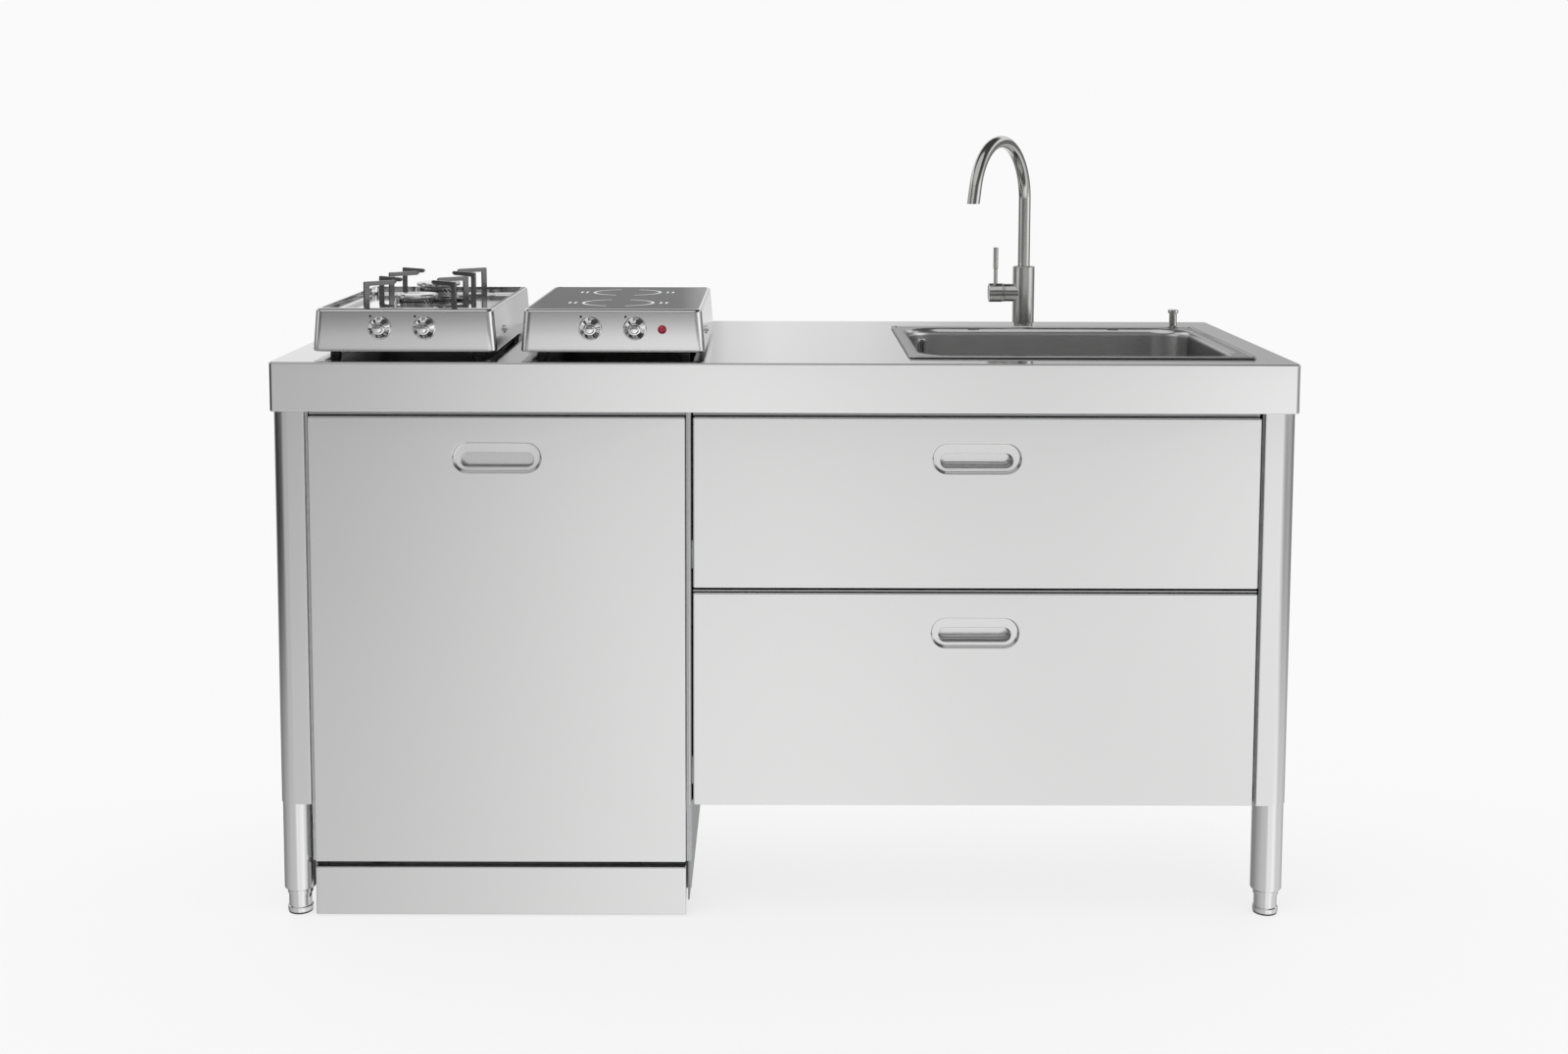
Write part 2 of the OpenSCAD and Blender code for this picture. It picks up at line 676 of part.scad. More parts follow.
module track(z, x0, x1, xb0, xb1) difference() {
  block(x0, x1, front_back_y + 1, box_y1, z + slide_up, z + slide_up + slide_h);
  block(xb0, xb1, front_back_y, box_y1 + 1, z + slide_up + track_t, z + slide_up + slide_h - track_t);
}
module slide_tracks() color("gray") for (z = [upper_box_z, lower_box_z]) {
  track(z, drawers_x, drawers_x + track_lip, drawers_x + track_t, drawers_x + track_lip + 1);
  track(z, bay_right - track_lip, bay_right, bay_right - track_lip - 1, bay_right - track_t);
}

door_x0 = bay_left + reveal;
door_x1 = bay_split - reveal;
door_mid = (bay_left + bay_split) / 2;
door_z = front_top - door_h;
hinge_y = front_back_y + hinge_in;
hinge_z = door_z + hinge_up;
tub_z = hinge_z + 10;
tub_y = front_back_y + liner_t + 4;
tub_top = front_top - 7;
tub_w = bay_w - 2 * tub_side;
tub_x0 = door_mid - tub_w / 2;
tub_x1 = door_mid + tub_w / 2;
tub_lip = 14;
base_y = hinge_y + hinge_up + 8;
pull_slot_z = front_top - pull_down - pull_h / 2 - (pull_h - slot_h) / 2 + 8.5;
liner_x0 = tub_x0 + 4;
liner_x1 = tub_x1 - 4;
boss_r = 9;
dispenser_w = 170;
dispenser_h = 100;
dispenser_up = 280;

module door_panel() color("silver") front_panel(door_x0, door_x1, door_z, front_top, false);

// Inner side of the door, dished towards the tub, with its hinge bosses and the dispenser
module door_liner() color("silver") difference() {
  union() {
    difference() {
      block(liner_x0, liner_x1, front_back_y, front_back_y + liner_t, hinge_z, tub_top);
      block(liner_x0 + 40, liner_x1 - 40, front_back_y + liner_t - 12, front_back_y + liner_t + 1,
            hinge_z + 60, tub_top - 30);
    }
    for (x = [liner_x0, liner_x1 - 14])
      translate([x, hinge_y, hinge_z]) rotate([0, 90, 0]) cylinder(r = boss_r, h = 14);
    block(door_mid - dispenser_w / 2, door_mid + dispenser_w / 2, front_back_y + liner_t - 12.5,
          front_back_y + liner_t - 2, hinge_z + dispenser_up, hinge_z + dispenser_up + dispenser_h);
  }
  translate([liner_x0 - 1, hinge_y, hinge_z]) rotate([0, 90, 0])
    cylinder(d = door_pin_d + 2 * fit, h = liner_x1 - liner_x0 + 2);
  // room for the fingers behind the door's slot
  block(door_mid - slot_w / 2 - 4, door_mid + slot_w / 2 + 4, front_back_y - 1, front_back_y + cup_deep,
        pull_slot_z - slot_h / 2 - 6, pull_slot_z + slot_h / 2 + 6);
}

plinth_t = 15;
plinth_top = door_z - plinth_gap;

module plinth_panel() color("silver")
  block(door_x0, door_x1, face_y, face_y + plinth_t, plinth_z, plinth_top);

cheek_t = 2.5;

// Base under the tub: a hollow tray on four short feet, the arms that carry the plinth,
// and the two cheeks with the door's hinge pins
module dishwasher_base() color("dimgray") {
  x0 = bay_left + fit;
  x1 = bay_split - fit;
  difference() {
    block(x0, x1, base_y, tub_y + tub_d, 12, tub_z);
    block(x0 + 2, x1 - 2, base_y + 2, tub_y + tub_d - 2, 14, tub_z + 1);
  }
  block(x0 + 1, x1 - 1, base_y + 1, base_y + 30, tub_z - 10, tub_z);
  for (x = [x0 + 40, x1 - 40], y = [base_y + 40, tub_y + tub_d - 40])
    translate([x, y, 0]) cylinder(d = 30, h = 13);
  for (x = [x0 + 80, x1 - 100])
    block(x, x + 20, face_y + plinth_t, base_y + 1, plinth_z + 10, plinth_top - 20);
  for (s = [0, 1]) {
    cx = s == 0 ? x0 : x1 - cheek_t;
    px = s == 0 ? x0 + 0.5 : liner_x1 - 12;
    pl = s == 0 ? liner_x0 + 12 - px : x1 - 0.5 - px;
    block(cx, cx + cheek_t, hinge_y - 8, base_y + 1, 20, hinge_z + 8);
    translate([px, hinge_y, hinge_z]) rotate([0, 90, 0]) cylinder(d = door_pin_d, h = pl);
  }
}

sump_d = 90;
post_d = 26;
arm_post_d = 12;
arm_h = 14;
lower_arm_z = tub_z + tub_t + 22;
lower_arm_x = door_mid;
arm_y = tub_y + tub_d / 2;
sump_right = 130;
sump_in = 120;
sump_x = door_mid + sump_right;
sump_y = tub_y + sump_in;
upper_basket_h = 110;
lower_basket_h = 130;
upper_rack_z = tub_z + (tub_top - tub_z) * 0.52;
upper_arm_z = upper_rack_z - arm_h - 12;
lower_rack_z = tub_z + 52;
rack_half = tub_w / 2 - tub_t - 16;
rack_y0 = tub_y + 28;
rack_y1 = tub_y + tub_d - 22;

// Tub with its front lip. The runners for the upper rack, the brackets that hold it
// to the side panel and the partition, and the lower spray arm's post are fixed to it
module dishwasher_tub() color("silver") {
  difference() {
    block(tub_x0, tub_x1, tub_y, tub_y + tub_d, tub_z, tub_top);
    block(tub_x0 + tub_t, tub_x1 - tub_t, tub_y + 2, tub_y + tub_d - tub_t, tub_z + tub_t, tub_top - tub_t);
    block(tub_x0 + tub_lip, tub_x1 - tub_lip, tub_y - 1, tub_y + 10, tub_z + tub_lip, tub_top - tub_lip);
    translate([sump_x, sump_y, tub_z - 1]) cylinder(d = sump_d + 2 * fit, h = 10);
  }
  for (s = [0, 1]) {
    x = s == 0 ? tub_x0 + tub_t + fit : tub_x1 - 24;
    block(x, x + 24 - tub_t - fit, rack_y0, rack_y1, upper_rack_z - 8, upper_rack_z);
  }
  for (y = [tub_y + 20, tub_y + tub_d - 60]) {
    block(bay_left, tub_x0 - fit, y, y + 40, tub_top - 80, tub_top - 60);
    block(tub_x1 + fit, bay_split, y, y + 40, tub_top - 80, tub_top - 60);
  }
  post_z = tub_z + tub_t + fit;
  translate([lower_arm_x, arm_y, post_z]) cylinder(d = post_d, h = lower_arm_z - fit - post_z);
  translate([lower_arm_x, arm_y, post_z]) cylinder(d = arm_post_d, h = lower_arm_z + 9.5 - post_z);
}

module tub_seal() color("dimgray") difference() {
  block(tub_x0 + 2, tub_x1 - 2, tub_y - 4 + fit, tub_y, tub_z + 2, tub_top - 2);
  block(tub_x0 + 11, tub_x1 - 11, tub_y - 6, tub_y + 1, tub_z + 11, tub_top - 11);
}

// Wire basket: a floor grid and four upright frames that are clipped round it
module basket(z, h) {
  x0 = door_mid - rack_half;
  x1 = door_mid + rack_half;
  nx = 6;
  ny = 6;
  low = z + wire + fit;
  difference() {
    block(x0, x1, rack_y0, rack_y1, z, z + wire);
    block(x0 + wire, x1 - wire, rack_y0 + wire, rack_y1 - wire, z - 1, z + wire + 1);
  }
  for (i = [1 : nx - 1]) {
    x = x0 + (x1 - x0) * i / nx;
    block(x - wire / 2, x + wire / 2, rack_y0 + 1, rack_y1 - 1, z, z + wire);
  }
  for (i = [1 : ny - 1]) {
    y = rack_y0 + (rack_y1 - rack_y0 - wire) * i / ny;
    block(x0 + 1, x1 - 1, y, y + wire, z, z + wire);
  }
  for (y = [rack_y0, rack_y1 - wire]) {
    block(x0, x1, y, y + wire, z + h - wire, z + h);
    for (i = [0 : nx]) {
      x = x0 + (x1 - x0 - wire) * i / nx;
      block(x, x + wire, y, y + wire, low, z + h);
    }
  }
  for (x = [x0, x1 - wire]) {
    block(x, x + wire, rack_y0 + wire + fit, rack_y1 - wire - fit, z + h - wire, z + h);
    for (i = [1 : ny - 1]) {
      y = rack_y0 + (rack_y1 - rack_y0 - wire) * i / ny;
      block(x, x + wire, y, y + wire, low, z + h);
    }
  }
}

// The upper basket carries the feed pipe and the pivot of the upper spray arm
module upper_rack() color("lightgray") {
  pipe_top = upper_rack_z - fit;
  basket(upper_rack_z, upper_basket_h);
  block(door_mid - 12, door_mid + 12, arm_y - 20, rack_y1 - 1, pipe_top - 9, pipe_top);
  translate([door_mid, arm_y, upper_arm_z - 8]) cylinder(d = arm_post_d, h = pipe_top - 9 - fit - upper_arm_z + 8);
  translate([door_mid, arm_y, upper_arm_z - 11]) cylinder(d = post_d, h = 4);
}

wheel_d = 24;
module lower_rack() color("lightgray") {
  basket(lower_rack_z, lower_basket_h);
  for (x = [door_mid - rack_half, door_mid + rack_half - wire], y = [rack_y0 + 90, rack_y1 - 90]) {
    translate([x - 2, y, tub_z + tub_t + wheel_d / 2 + fit]) rotate([0, 90, 0])
      cylinder(d = wheel_d, h = wire + 4);
    block(x, x + wire, y - 4, y + 4, tub_z + tub_t + wheel_d / 2, lower_rack_z - fit);
  }
}

module spray_arm(z) translate([door_mid, arm_y, z]) difference() {
  union() {
    cylinder(d = 50, h = arm_h);
    for (a = [0, 180]) rotate([0, 0, a]) {
      translate([0, -14, 2]) cube([spray_r - 14, 28, arm_h - 4]);
      translate([spray_r - 14, 0, 2]) cylinder(r = 14, h = arm_h - 4);
    }
  }
  translate([0, 0, -1]) cylinder(d = arm_post_d + 2 * fit, h = arm_h + 2);
}
module lower_spray_arm() color("gray") spray_arm(lower_arm_z);
module upper_spray_arm() color("gray") spray_arm(upper_arm_z - 7 + fit);

module sump_filter() color("gray") translate([sump_x, sump_y, 0]) {
  translate([0, 0, tub_z + tub_t]) cylinder(d = sump_d + 40, h = 3);
  translate([0, 0, tub_z - 30]) cylinder(d = sump_d, h = 33);
  translate([0, 0, tub_z + tub_t]) cylinder(d = 50, h = 18);
}

gas_x = left_x + hob_left + hob_w / 2;
glass_x = gas_x + hob_w + hob_gap;
hob_y0 = front_y + hob_front;
hob_y1 = hob_y0 + hob_d;
hob_y = (hob_y0 + hob_y1) / 2;
hob_z = unit_h + hob_foot_h;
hob_top = hob_z + hob_h;
tray_z = hob_top - tray_deep;
hinge_gap = 7;
hob_hinge_y = hob_y1 + hinge_gap;
hob_hinge_z = hob_z + 6;
hob_hinge_x = 110;
ear_w = 12;
case_r = 11;
hob_pin_d = 5;
gas_knob_shift = 3;
spindle_d = 6;
lamp_x = 78.5;
burner_x = 0;
front_burner_y = hob_y0 + burner_front;
rear_burner_y = front_burner_y + burner_pitch;
front_cap_z = tray_z + 21;
rear_cap_z = tray_z + 24;
cap_t = 7;

// Case of a hob: folded sides with a rim round the open top, a floor,
// and two ears at the back with the bores for the hinge pins
module hob_case(x, rim, knob_mid, lamp) difference() {
  union() {
    difference() {
      translate([x, hob_y, hob_z]) linear_extrude(hob_h) rounded(hob_w, hob_d, case_r);
      translate([x, hob_y, hob_z + case_t]) linear_extrude(hob_h - 2 * case_t)
        rounded(hob_w - 2 * case_t, hob_d - 2 * case_t, case_r - case_t);
      block(x - hob_w / 2 + rim, x + hob_w / 2 - rim, hob_y0 + rim, hob_y1 - rim, hob_top - 3 * case_t, hob_top + 1);
    }
    for (s = [-1, 1]) translate([x + s * hob_hinge_x - ear_w / 2, 0, 0]) {
      block(0, ear_w, hob_y1 - case_t, hob_hinge_y, hob_hinge_z - 4, hob_hinge_z + 4);
      translate([0, hob_hinge_y, hob_hinge_z]) rotate([0, 90, 0]) cylinder(d = 8, h = ear_w);
    }
  }
  for (s = [-1, 1]) {
    translate([x + s * hob_hinge_x - ear_w, hob_hinge_y, hob_hinge_z]) rotate([0, 90, 0])
      cylinder(d = hob_pin_d + 2 * fit, h = 2 * ear_w);
    translate([knob_mid + s * knob_pitch / 2, hob_y0 - 1, unit_h + knob_z]) rotate([-90, 0, 0])
      cylinder(d = spindle_d + 2, h = 10);
  }
  if (lamp) translate([x + lamp_x, hob_y0 - 1, unit_h + knob_z - 1.5]) rotate([-90, 0, 0])
    cylinder(d = lamp_d - 3, h = 10);
}

module gas_hob_case() color("silver") hob_case(gas_x, rim_w, gas_x - gas_knob_shift, false);
module glass_hob_case() color("silver") hob_case(glass_x, glass_rim, glass_x, true);

// Brackets screwed to the worktop, with the pins that the hobs turn on
module hob_hinges() color("gray") for (x = [gas_x, glass_x], s = [-1, 1])
  translate([x + s * hob_hinge_x, 0, 0]) {
    block(-ear_w / 2 - 7, ear_w / 2 + 7, hob_hinge_y - 3, hob_hinge_y + 16, unit_h, unit_h + 2.5);
    for (e = [-1, 1]) translate([e * (ear_w / 2 + 4), 0, 0]) {
      block(-2.5, 2.5, hob_hinge_y - 3, hob_hinge_y + 5, unit_h + 1, hob_hinge_z);
      translate([-2.5, hob_hinge_y, hob_hinge_z]) rotate([0, 90, 0]) cylinder(d = 9, h = 5);
    }
    translate([-ear_w / 2 - 7, hob_hinge_y, hob_hinge_z]) rotate([0, 90, 0])
      cylinder(d = hob_pin_d, h = ear_w + 14);
  }

module hob_feet(x) for (sx = [-1, 1], y = [hob_y0 + 22, hob_y1 - 30])
  translate([x + sx * (hob_w / 2 - 33), y, unit_h]) cylinder(d = hob_foot_d, h = hob_foot_h);
module gas_hob_feet() color("dimgray") hob_feet(gas_x);
module glass_hob_feet() color("dimgray") hob_feet(glass_x);

// Recessed tray inside the rim of the gas hob
module gas_hob_tray() color("silver") difference() {
  m = rim_w + fit;
  block(gas_x - hob_w / 2 + m, gas_x + hob_w / 2 - m, hob_y0 + m, hob_y1 - m, tray_z - case_t, hob_top - 0.5);
  block(gas_x - hob_w / 2 + m + case_t, gas_x + hob_w / 2 - m - case_t, hob_y0 + m + case_t,
        hob_y1 - m - case_t, tray_z, hob_top + 1);
  translate([gas_x, front_burner_y, tray_z - 5]) cylinder(d = front_cap_d - 30 + 2 * fit, h = 10);
  translate([gas_x, rear_burner_y, tray_z - 5]) cylinder(d = rear_cap_d - 30 + 2 * fit, h = 10);
}

module burner_body(y, d, z) translate([gas_x, y, 0]) {
  translate([0, 0, tray_z]) cylinder(d = d - 12, h = z - tray_z);
  translate([0, 0, tray_z - 30]) cylinder(d = d - 30, h = 31);
  // igniter standing beside the burner
  translate([-d / 2 - 1, 0, tray_z]) cylinder(d = 5, h = z - tray_z - 2);
}
module burner_bodies() color("darkgray") {
  burner_body(front_burner_y, front_cap_d, front_cap_z);
  burner_body(rear_burner_y, rear_cap_d, rear_cap_z);
}

module burner_caps() color("gray") {
  translate([gas_x, front_burner_y, front_cap_z]) cylinder(d = front_cap_d, h = cap_t);
  translate([gas_x, rear_burner_y, rear_cap_z]) cylinder(d = rear_cap_d, h = cap_t);
}

bar_t = 4;
finger_l = 58;
ring_r = 46;

// Pan support: a flat ring round the burner with four arms bent up and back over it
module pan_support(y) translate([gas_x, y, tray_z]) {
  difference() {
    cylinder(r = ring_r, h = 4);
    translate([0, 0, -1]) cylinder(r = ring_r - 4, h = 6);
  }
  for (a = [40, 140, 220, 320]) rotate([0, 0, a]) {
    translate([ring_r - 2, -bar_t / 2, 0]) cube([support_r - ring_r + 2, bar_t, 4]);
    translate([support_r - 9, -bar_t / 2, 0]) cube([9, bar_t, support_h]);
    translate([support_r - finger_l, -bar_t / 2, support_h - 7]) cube([finger_l, bar_t, 7]);
  }
}
module pan_supports() color("dimgray") {
  pan_support(front_burner_y);
  pan_support(rear_burner_y);
}

module hob_glass() color("dimgray") {
  m = glass_rim + fit;
  block(glass_x - hob_w / 2 + m, glass_x + hob_w / 2 - m, hob_y0 + m, hob_y1 - m,
        hob_top - glass_t - 0.5, hob_top - 0.5);
}

module pilot_lamp() color("crimson") translate([glass_x + lamp_x, hob_y0, unit_h + knob_z - 1.5])
  rotate([90, 0, 0]) {
    cylinder(d = lamp_d, h = 2);
    cylinder(d = lamp_d - 4, h = 4);
    translate([0, 0, -20]) cylinder(d = lamp_d - 4, h = 21);
  }

// Knob with a sloping skirt, a round boss and a raised pointer, on its own spindle
module hob_knob(x) color("silver")
  translate([x, hob_y0 - fit, unit_h + knob_z]) rotate([90, 0, 0]) {
    cylinder(d = knob_d, h = 3);
    translate([0, 0, 3]) cylinder(d1 = knob_d - 2, d2 = knob_d / 2, h = 8);
    cylinder(d = 14, h = 17);
    rotate([0, 0, 90]) translate([5, -2.5, 2]) cube([knob_d / 2 - 5, 5, 7]);
    translate([0, 0, -25]) cylinder(d = spindle_d, h = 26);
  }

module gas_knob_left() hob_knob(gas_x - gas_knob_shift - knob_pitch / 2);
module gas_knob_right() hob_knob(gas_x - gas_knob_shift + knob_pitch / 2);
module glass_knob_left() hob_knob(glass_x - knob_pitch / 2);
module glass_knob_right() hob_knob(glass_x + knob_pitch / 2);

worktop();
worktop_core();
side_panel_left();
side_panel_right();
leg_tubes();
partition_panel();
back_panel();
cabinet_floor();
cross_rails();
slide_tracks();
foot_front_left();
foot_front_right();
foot_rear_left();
foot_rear_right();
sink_bowl();
sink_clamps();
overflow_cover();
drain_body();
drain_trap();
waste_plug();
popup_guide();
popup_knob();
tap_base_ring();
tap_body();
tap_shank();
spout();
lever_cap();
lever_pin();
upper_drawer_front();
upper_drawer_box();
upper_drawer_slides();
lower_drawer_front();
lower_drawer_box();
lower_drawer_slides();
door_panel();
door_liner();
plinth_panel();
dishwasher_base();
dishwasher_tub();
tub_seal();
upper_rack();
lower_rack();
upper_spray_arm();
lower_spray_arm();
sump_filter();
hob_hinges();
gas_hob_case();
gas_hob_tray();
burner_bodies();
burner_caps();
pan_supports();
gas_hob_feet();
gas_knob_left();
gas_knob_right();
glass_hob_case();
hob_glass();
pilot_lamp();
glass_hob_feet();
glass_knob_left();
glass_knob_right();
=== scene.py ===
"""Free-standing stainless steel kitchen unit: a folded worktop on four round legs, with an inset
sink and swan-neck tap, two table hobs, two drawers and a drop-down dishwasher door.
Metres throughout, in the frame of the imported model: X right, Y back, Z up, floor at 0."""
import math

import bmesh
import bpy
from mathutils import Matrix, Vector


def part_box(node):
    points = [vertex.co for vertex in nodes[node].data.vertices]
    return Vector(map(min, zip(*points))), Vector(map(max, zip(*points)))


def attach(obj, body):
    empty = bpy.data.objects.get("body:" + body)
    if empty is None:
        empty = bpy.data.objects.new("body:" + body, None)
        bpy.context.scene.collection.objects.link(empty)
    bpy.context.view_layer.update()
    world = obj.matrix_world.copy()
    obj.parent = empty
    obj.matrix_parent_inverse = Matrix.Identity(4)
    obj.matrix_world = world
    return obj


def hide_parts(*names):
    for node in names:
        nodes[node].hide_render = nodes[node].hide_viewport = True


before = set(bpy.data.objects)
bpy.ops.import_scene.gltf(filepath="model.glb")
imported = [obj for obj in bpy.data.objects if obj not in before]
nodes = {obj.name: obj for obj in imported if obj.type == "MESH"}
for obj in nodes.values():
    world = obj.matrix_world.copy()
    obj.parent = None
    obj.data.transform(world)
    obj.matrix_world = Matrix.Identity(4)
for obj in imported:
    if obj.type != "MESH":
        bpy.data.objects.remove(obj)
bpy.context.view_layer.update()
scene = bpy.context.scene

# Camera. It stands in front of the unit at about the height of the tap's bow and looks
# slightly down. The picture is shifted so that upright edges stay nearly upright.
pitch, yaw, roll = math.radians(5.141), math.radians(0.174), math.radians(0.168)
ahead = Vector((math.sin(yaw) * math.cos(pitch), math.cos(yaw) * math.cos(pitch), -math.sin(pitch)))
level = Vector((math.cos(yaw), -math.sin(yaw), 0))
upward = level.cross(ahead)
camera = bpy.data.objects.new("camera", bpy.data.cameras.new("camera"))
scene.collection.objects.link(camera)
scene.camera = camera
camera.matrix_world = Matrix.Translation((-0.0201, -3.1988, 1.2474)) @ Matrix(
    (
        level * math.cos(roll) + upward * math.sin(roll),
        upward * math.cos(roll) - level * math.sin(roll),
        -ahead,
    )
).transposed().to_4x4()
camera.data.sensor_width = 36
camera.data.lens = 42.949
camera.data.shift_x = 0.0038
camera.data.shift_y = -0.145
camera.data.clip_end = 200
scene.view_settings.view_transform = "Standard"


# Studio. A pale floor that runs into a white surround, one wide soft lamp, and rings of soft
# boxes and darker gaps at three heights, which steel and chrome show as upright bands. A dark
# canopy in front and a dark area straight above draw the rolled upper edges.
class Wire:
    """An output socket of a node tree. Sums on it add Math nodes."""

    def __init__(self, paint, socket):
        self.paint, self.socket = paint, socket

    def sum_of(operation, swapped=False):
        def add_node(self, other):
            pair = (other, self) if swapped else (self, other)
            return self.paint.maths(operation, *pair)

        return add_node

    __add__, __radd__ = sum_of("ADD"), sum_of("ADD", True)
    __sub__, __rsub__ = sum_of("SUBTRACT"), sum_of("SUBTRACT", True)
    __mul__, __rmul__ = sum_of("MULTIPLY"), sum_of("MULTIPLY", True)
    __truediv__ = sum_of("DIVIDE")


class Paint:
    """Adds nodes to one node tree."""

    kinds = "ShaderNode"

    def __init__(self, tree):
        self.tree = tree

    def node(self, kind, settings=None, sockets=None, out=0):
        made = self.tree.nodes.new(self.kinds + kind)
        for key, value in (settings or {}).items():
            setattr(made, key, value)
        for key, value in (sockets or {}).items():
            self.feed(made.inputs[key], value)
        return Wire(self, made.outputs[out])

    def feed(self, socket, value):
        if isinstance(value, Wire):
            self.tree.links.new(value.socket, socket)
        elif isinstance(value, tuple) and socket.type == "RGBA":
            socket.default_value = (*value, 1)
        else:
            socket.default_value = value

    def maths(self, operation, *values):
        return self.node("Math", {"operation": operation}, dict(enumerate(values)))

    def split(self, vector):
        """The X, Y and Z of a vector."""
        made = self.node("SeparateXYZ", None, {0: vector}).socket.node
        return [Wire(self, axis) for axis in made.outputs]

    def between(self, value, low, high):
        """0 below low, 1 above high, and smooth from one to the other."""
        sockets = {"Value": value, "From Min": low, "From Max": high}
        return self.node("MapRange", {"interpolation_type": "SMOOTHSTEP"}, sockets)

    def mix(self, share, first, second):
        return self.node("Mix", {"data_type": "RGBA"}, {0: share, 6: first, 7: second}, out=2)


class Finish(Paint):
    """A material and its shader tree."""

    def __init__(self, name, colour, metallic, roughness, **inputs):
        self.made = bpy.data.materials.new(name)
        self.made.use_nodes = True
        super().__init__(self.made.node_tree)
        self.set(Base_Color=colour, Metallic=metallic, Roughness=roughness, **inputs)

    def set(self, **inputs):
        for key, value in inputs.items():
            self.feed(self.tree.nodes["Principled BSDF"].inputs[key.replace("_", " ")], value)

    def place(self):
        """Object coordinates."""
        return self.node("TexCoord", out=3)

    def noise(self, scale, detail=2.0, place=None, **sockets):
        sockets.update({"Scale": scale, "Detail": detail})
        if place:
            sockets["Vector"] = place
        return self.node("TexNoise", None, sockets)

    def bump(self, strength, distance, height):
        sockets = {"Strength": strength, "Distance": distance, "Height": height}
        self.set(Normal=self.node("Bump", None, sockets))


surround = bpy.data.worlds.new("surround")
surround.use_nodes = True
surround.node_tree.nodes.clear()
scene.world = surround
sky = Paint(surround.node_tree)
east, north, height = sky.split(sky.node("TexCoord"))
turn = sky.maths("ARCTAN2", east, north * -1) / math.tau + 0.5


def band(*pairs):
    """Greys round the unit at (degrees from the front, brightness), the right positive."""
    ramp = sky.node("ValToRGB", None, {0: turn})
    stops = ramp.socket.node.color_ramp.elements
    for _ in pairs[2:]:
        stops.new(0.5)
    for stop, (angle, grey) in zip(stops, pairs):
        stop.position, stop.color = 0.5 + angle / 360, (grey, grey, grey, 1)
    return ramp


upper = band(
    (-180, 0.9), (-178.5, 0.8), (-177.5, 0.3), (-172, 0.28), (-170.5, 0.95), (-165, 0.95),
    (-140, 0.6), (-115, 0.18), (-95, 0.26), (-84, 0.75), (-72, 0.85), (-62, 0.6), (-51, 0.22),
    (-39, 0.12), (-27, 0.14), (-15, 0.2), (-4, 0.26), (18, 0.3), (41, 0.42), (50, 0.75),
    (60, 1.25), (70, 1.4), (80, 1.2), (93, 0.8), (109, 0.32), (129, 0.15), (150, 0.35),
    (166, 0.5), (174, 0.6), (177, 0.82), (180, 0.9),
)
middle_ring = band(
    (-180, 0.95), (-140, 0.5), (-118, 0.03), (-100, 0.03), (-84, 0.03), (-62, 0.06), (-50, 0.42),
    (-40, 0.62), (-28, 0.58), (-18, 0.56), (-12, 0.7), (-6, 0.96), (-1, 1.09), (4, 1.0),
    (8, 0.94), (12, 1.02), (17, 1.2), (24, 1.12), (33, 0.8), (42, 0.58), (54, 0.34), (64, 0.4),
    (80, 0.47), (92, 0.45), (105, 0.34), (125, 0.2), (140, 0.4), (155, 0.95), (180, 0.95),
)
lower = band(
    (-180, 0.9), (-150, 0.25), (-109, 0.34), (-81, 0.52), (-50, 0.66), (-25, 0.68), (-14, 0.72),
    (-9, 0.88), (-3, 1.08), (1, 1.14), (5, 1.06), (9, 0.98), (15, 1.04), (27, 1.12), (40, 1.25),
    (50, 1.0), (64, 0.82), (81, 0.84), (99, 0.8), (121, 0.6), (150, 0.5), (170, 0.9), (180, 0.9),
)
ring = sky.mix(sky.between(height, -0.33, -0.2), lower, middle_ring)
ring = sky.mix(sky.between(height, -0.103, -0.086), ring, upper)
canopy = sky.mix(sky.between(north, -0.3, 0.15), (0.1, 0.1, 0.1), (0.95, 0.95, 0.95))
canopy = sky.mix(sky.between(height, 0.5, 0.66), canopy, (0.06, 0.06, 0.06))
overhead = sky.mix(sky.between(height, 0.18, 0.36), ring, canopy)
seen = sky.mix(sky.node("LightPath", out="Is Glossy Ray"), (0.86, 0.86, 0.86), overhead)
backdrop = (0.955, 0.955, 0.955)
seen = sky.mix(sky.node("LightPath", out="Is Camera Ray"), seen, backdrop)
shine = sky.node("Background", None, {0: seen})
sky.feed(sky.tree.nodes.new("ShaderNodeOutputWorld").inputs[0], shine)

lamp = bpy.data.objects.new("lamp", bpy.data.lights.new("lamp", "SUN"))
lamp.data.energy = 0.7
lamp.data.angle = math.radians(70)
lamp.rotation_euler = (math.radians(28), math.radians(-18), 0)
scene.collection.objects.link(lamp)

floor_mesh = bpy.data.meshes.new("floor")
far = 60
floor_edge = [(-far, -far, 0), (far, -far, 0), (far, far, 0), (-far, far, 0)]
floor_mesh.from_pydata(floor_edge, [], [(0, 1, 2, 3)])
floor = bpy.data.objects.new("floor", floor_mesh)
scene.collection.objects.link(floor)
ground = Finish("floor_paint", (0.922, 0.922, 0.922), 0.0, 0.9, Specular_IOR_Level=0.0)
back = ground.split(ground.place())[1]
# Seen from the camera the floor glows white for 72 to 98 per cent of its shade, more towards the back:
# painted light that washes out most of the shadow under the unit, and the front keeps some of it.
share = 0.72 + 0.26 * ground.between(back, -0.5, 0.35)
share = ground.node("LightPath", out="Is Camera Ray") * share
lit = Wire(ground, ground.tree.nodes["Principled BSDF"].outputs[0])
shadow_fill_glow = ground.node("Emission", None, {0: backdrop})
mixed = ground.node("MixShader", None, {0: share, 1: lit, 2: shadow_fill_glow})
ground.feed(ground.tree.nodes["Material Output"].inputs[0], mixed)
floor_mesh.materials.append(ground.made)
floor.visible_glossy = False


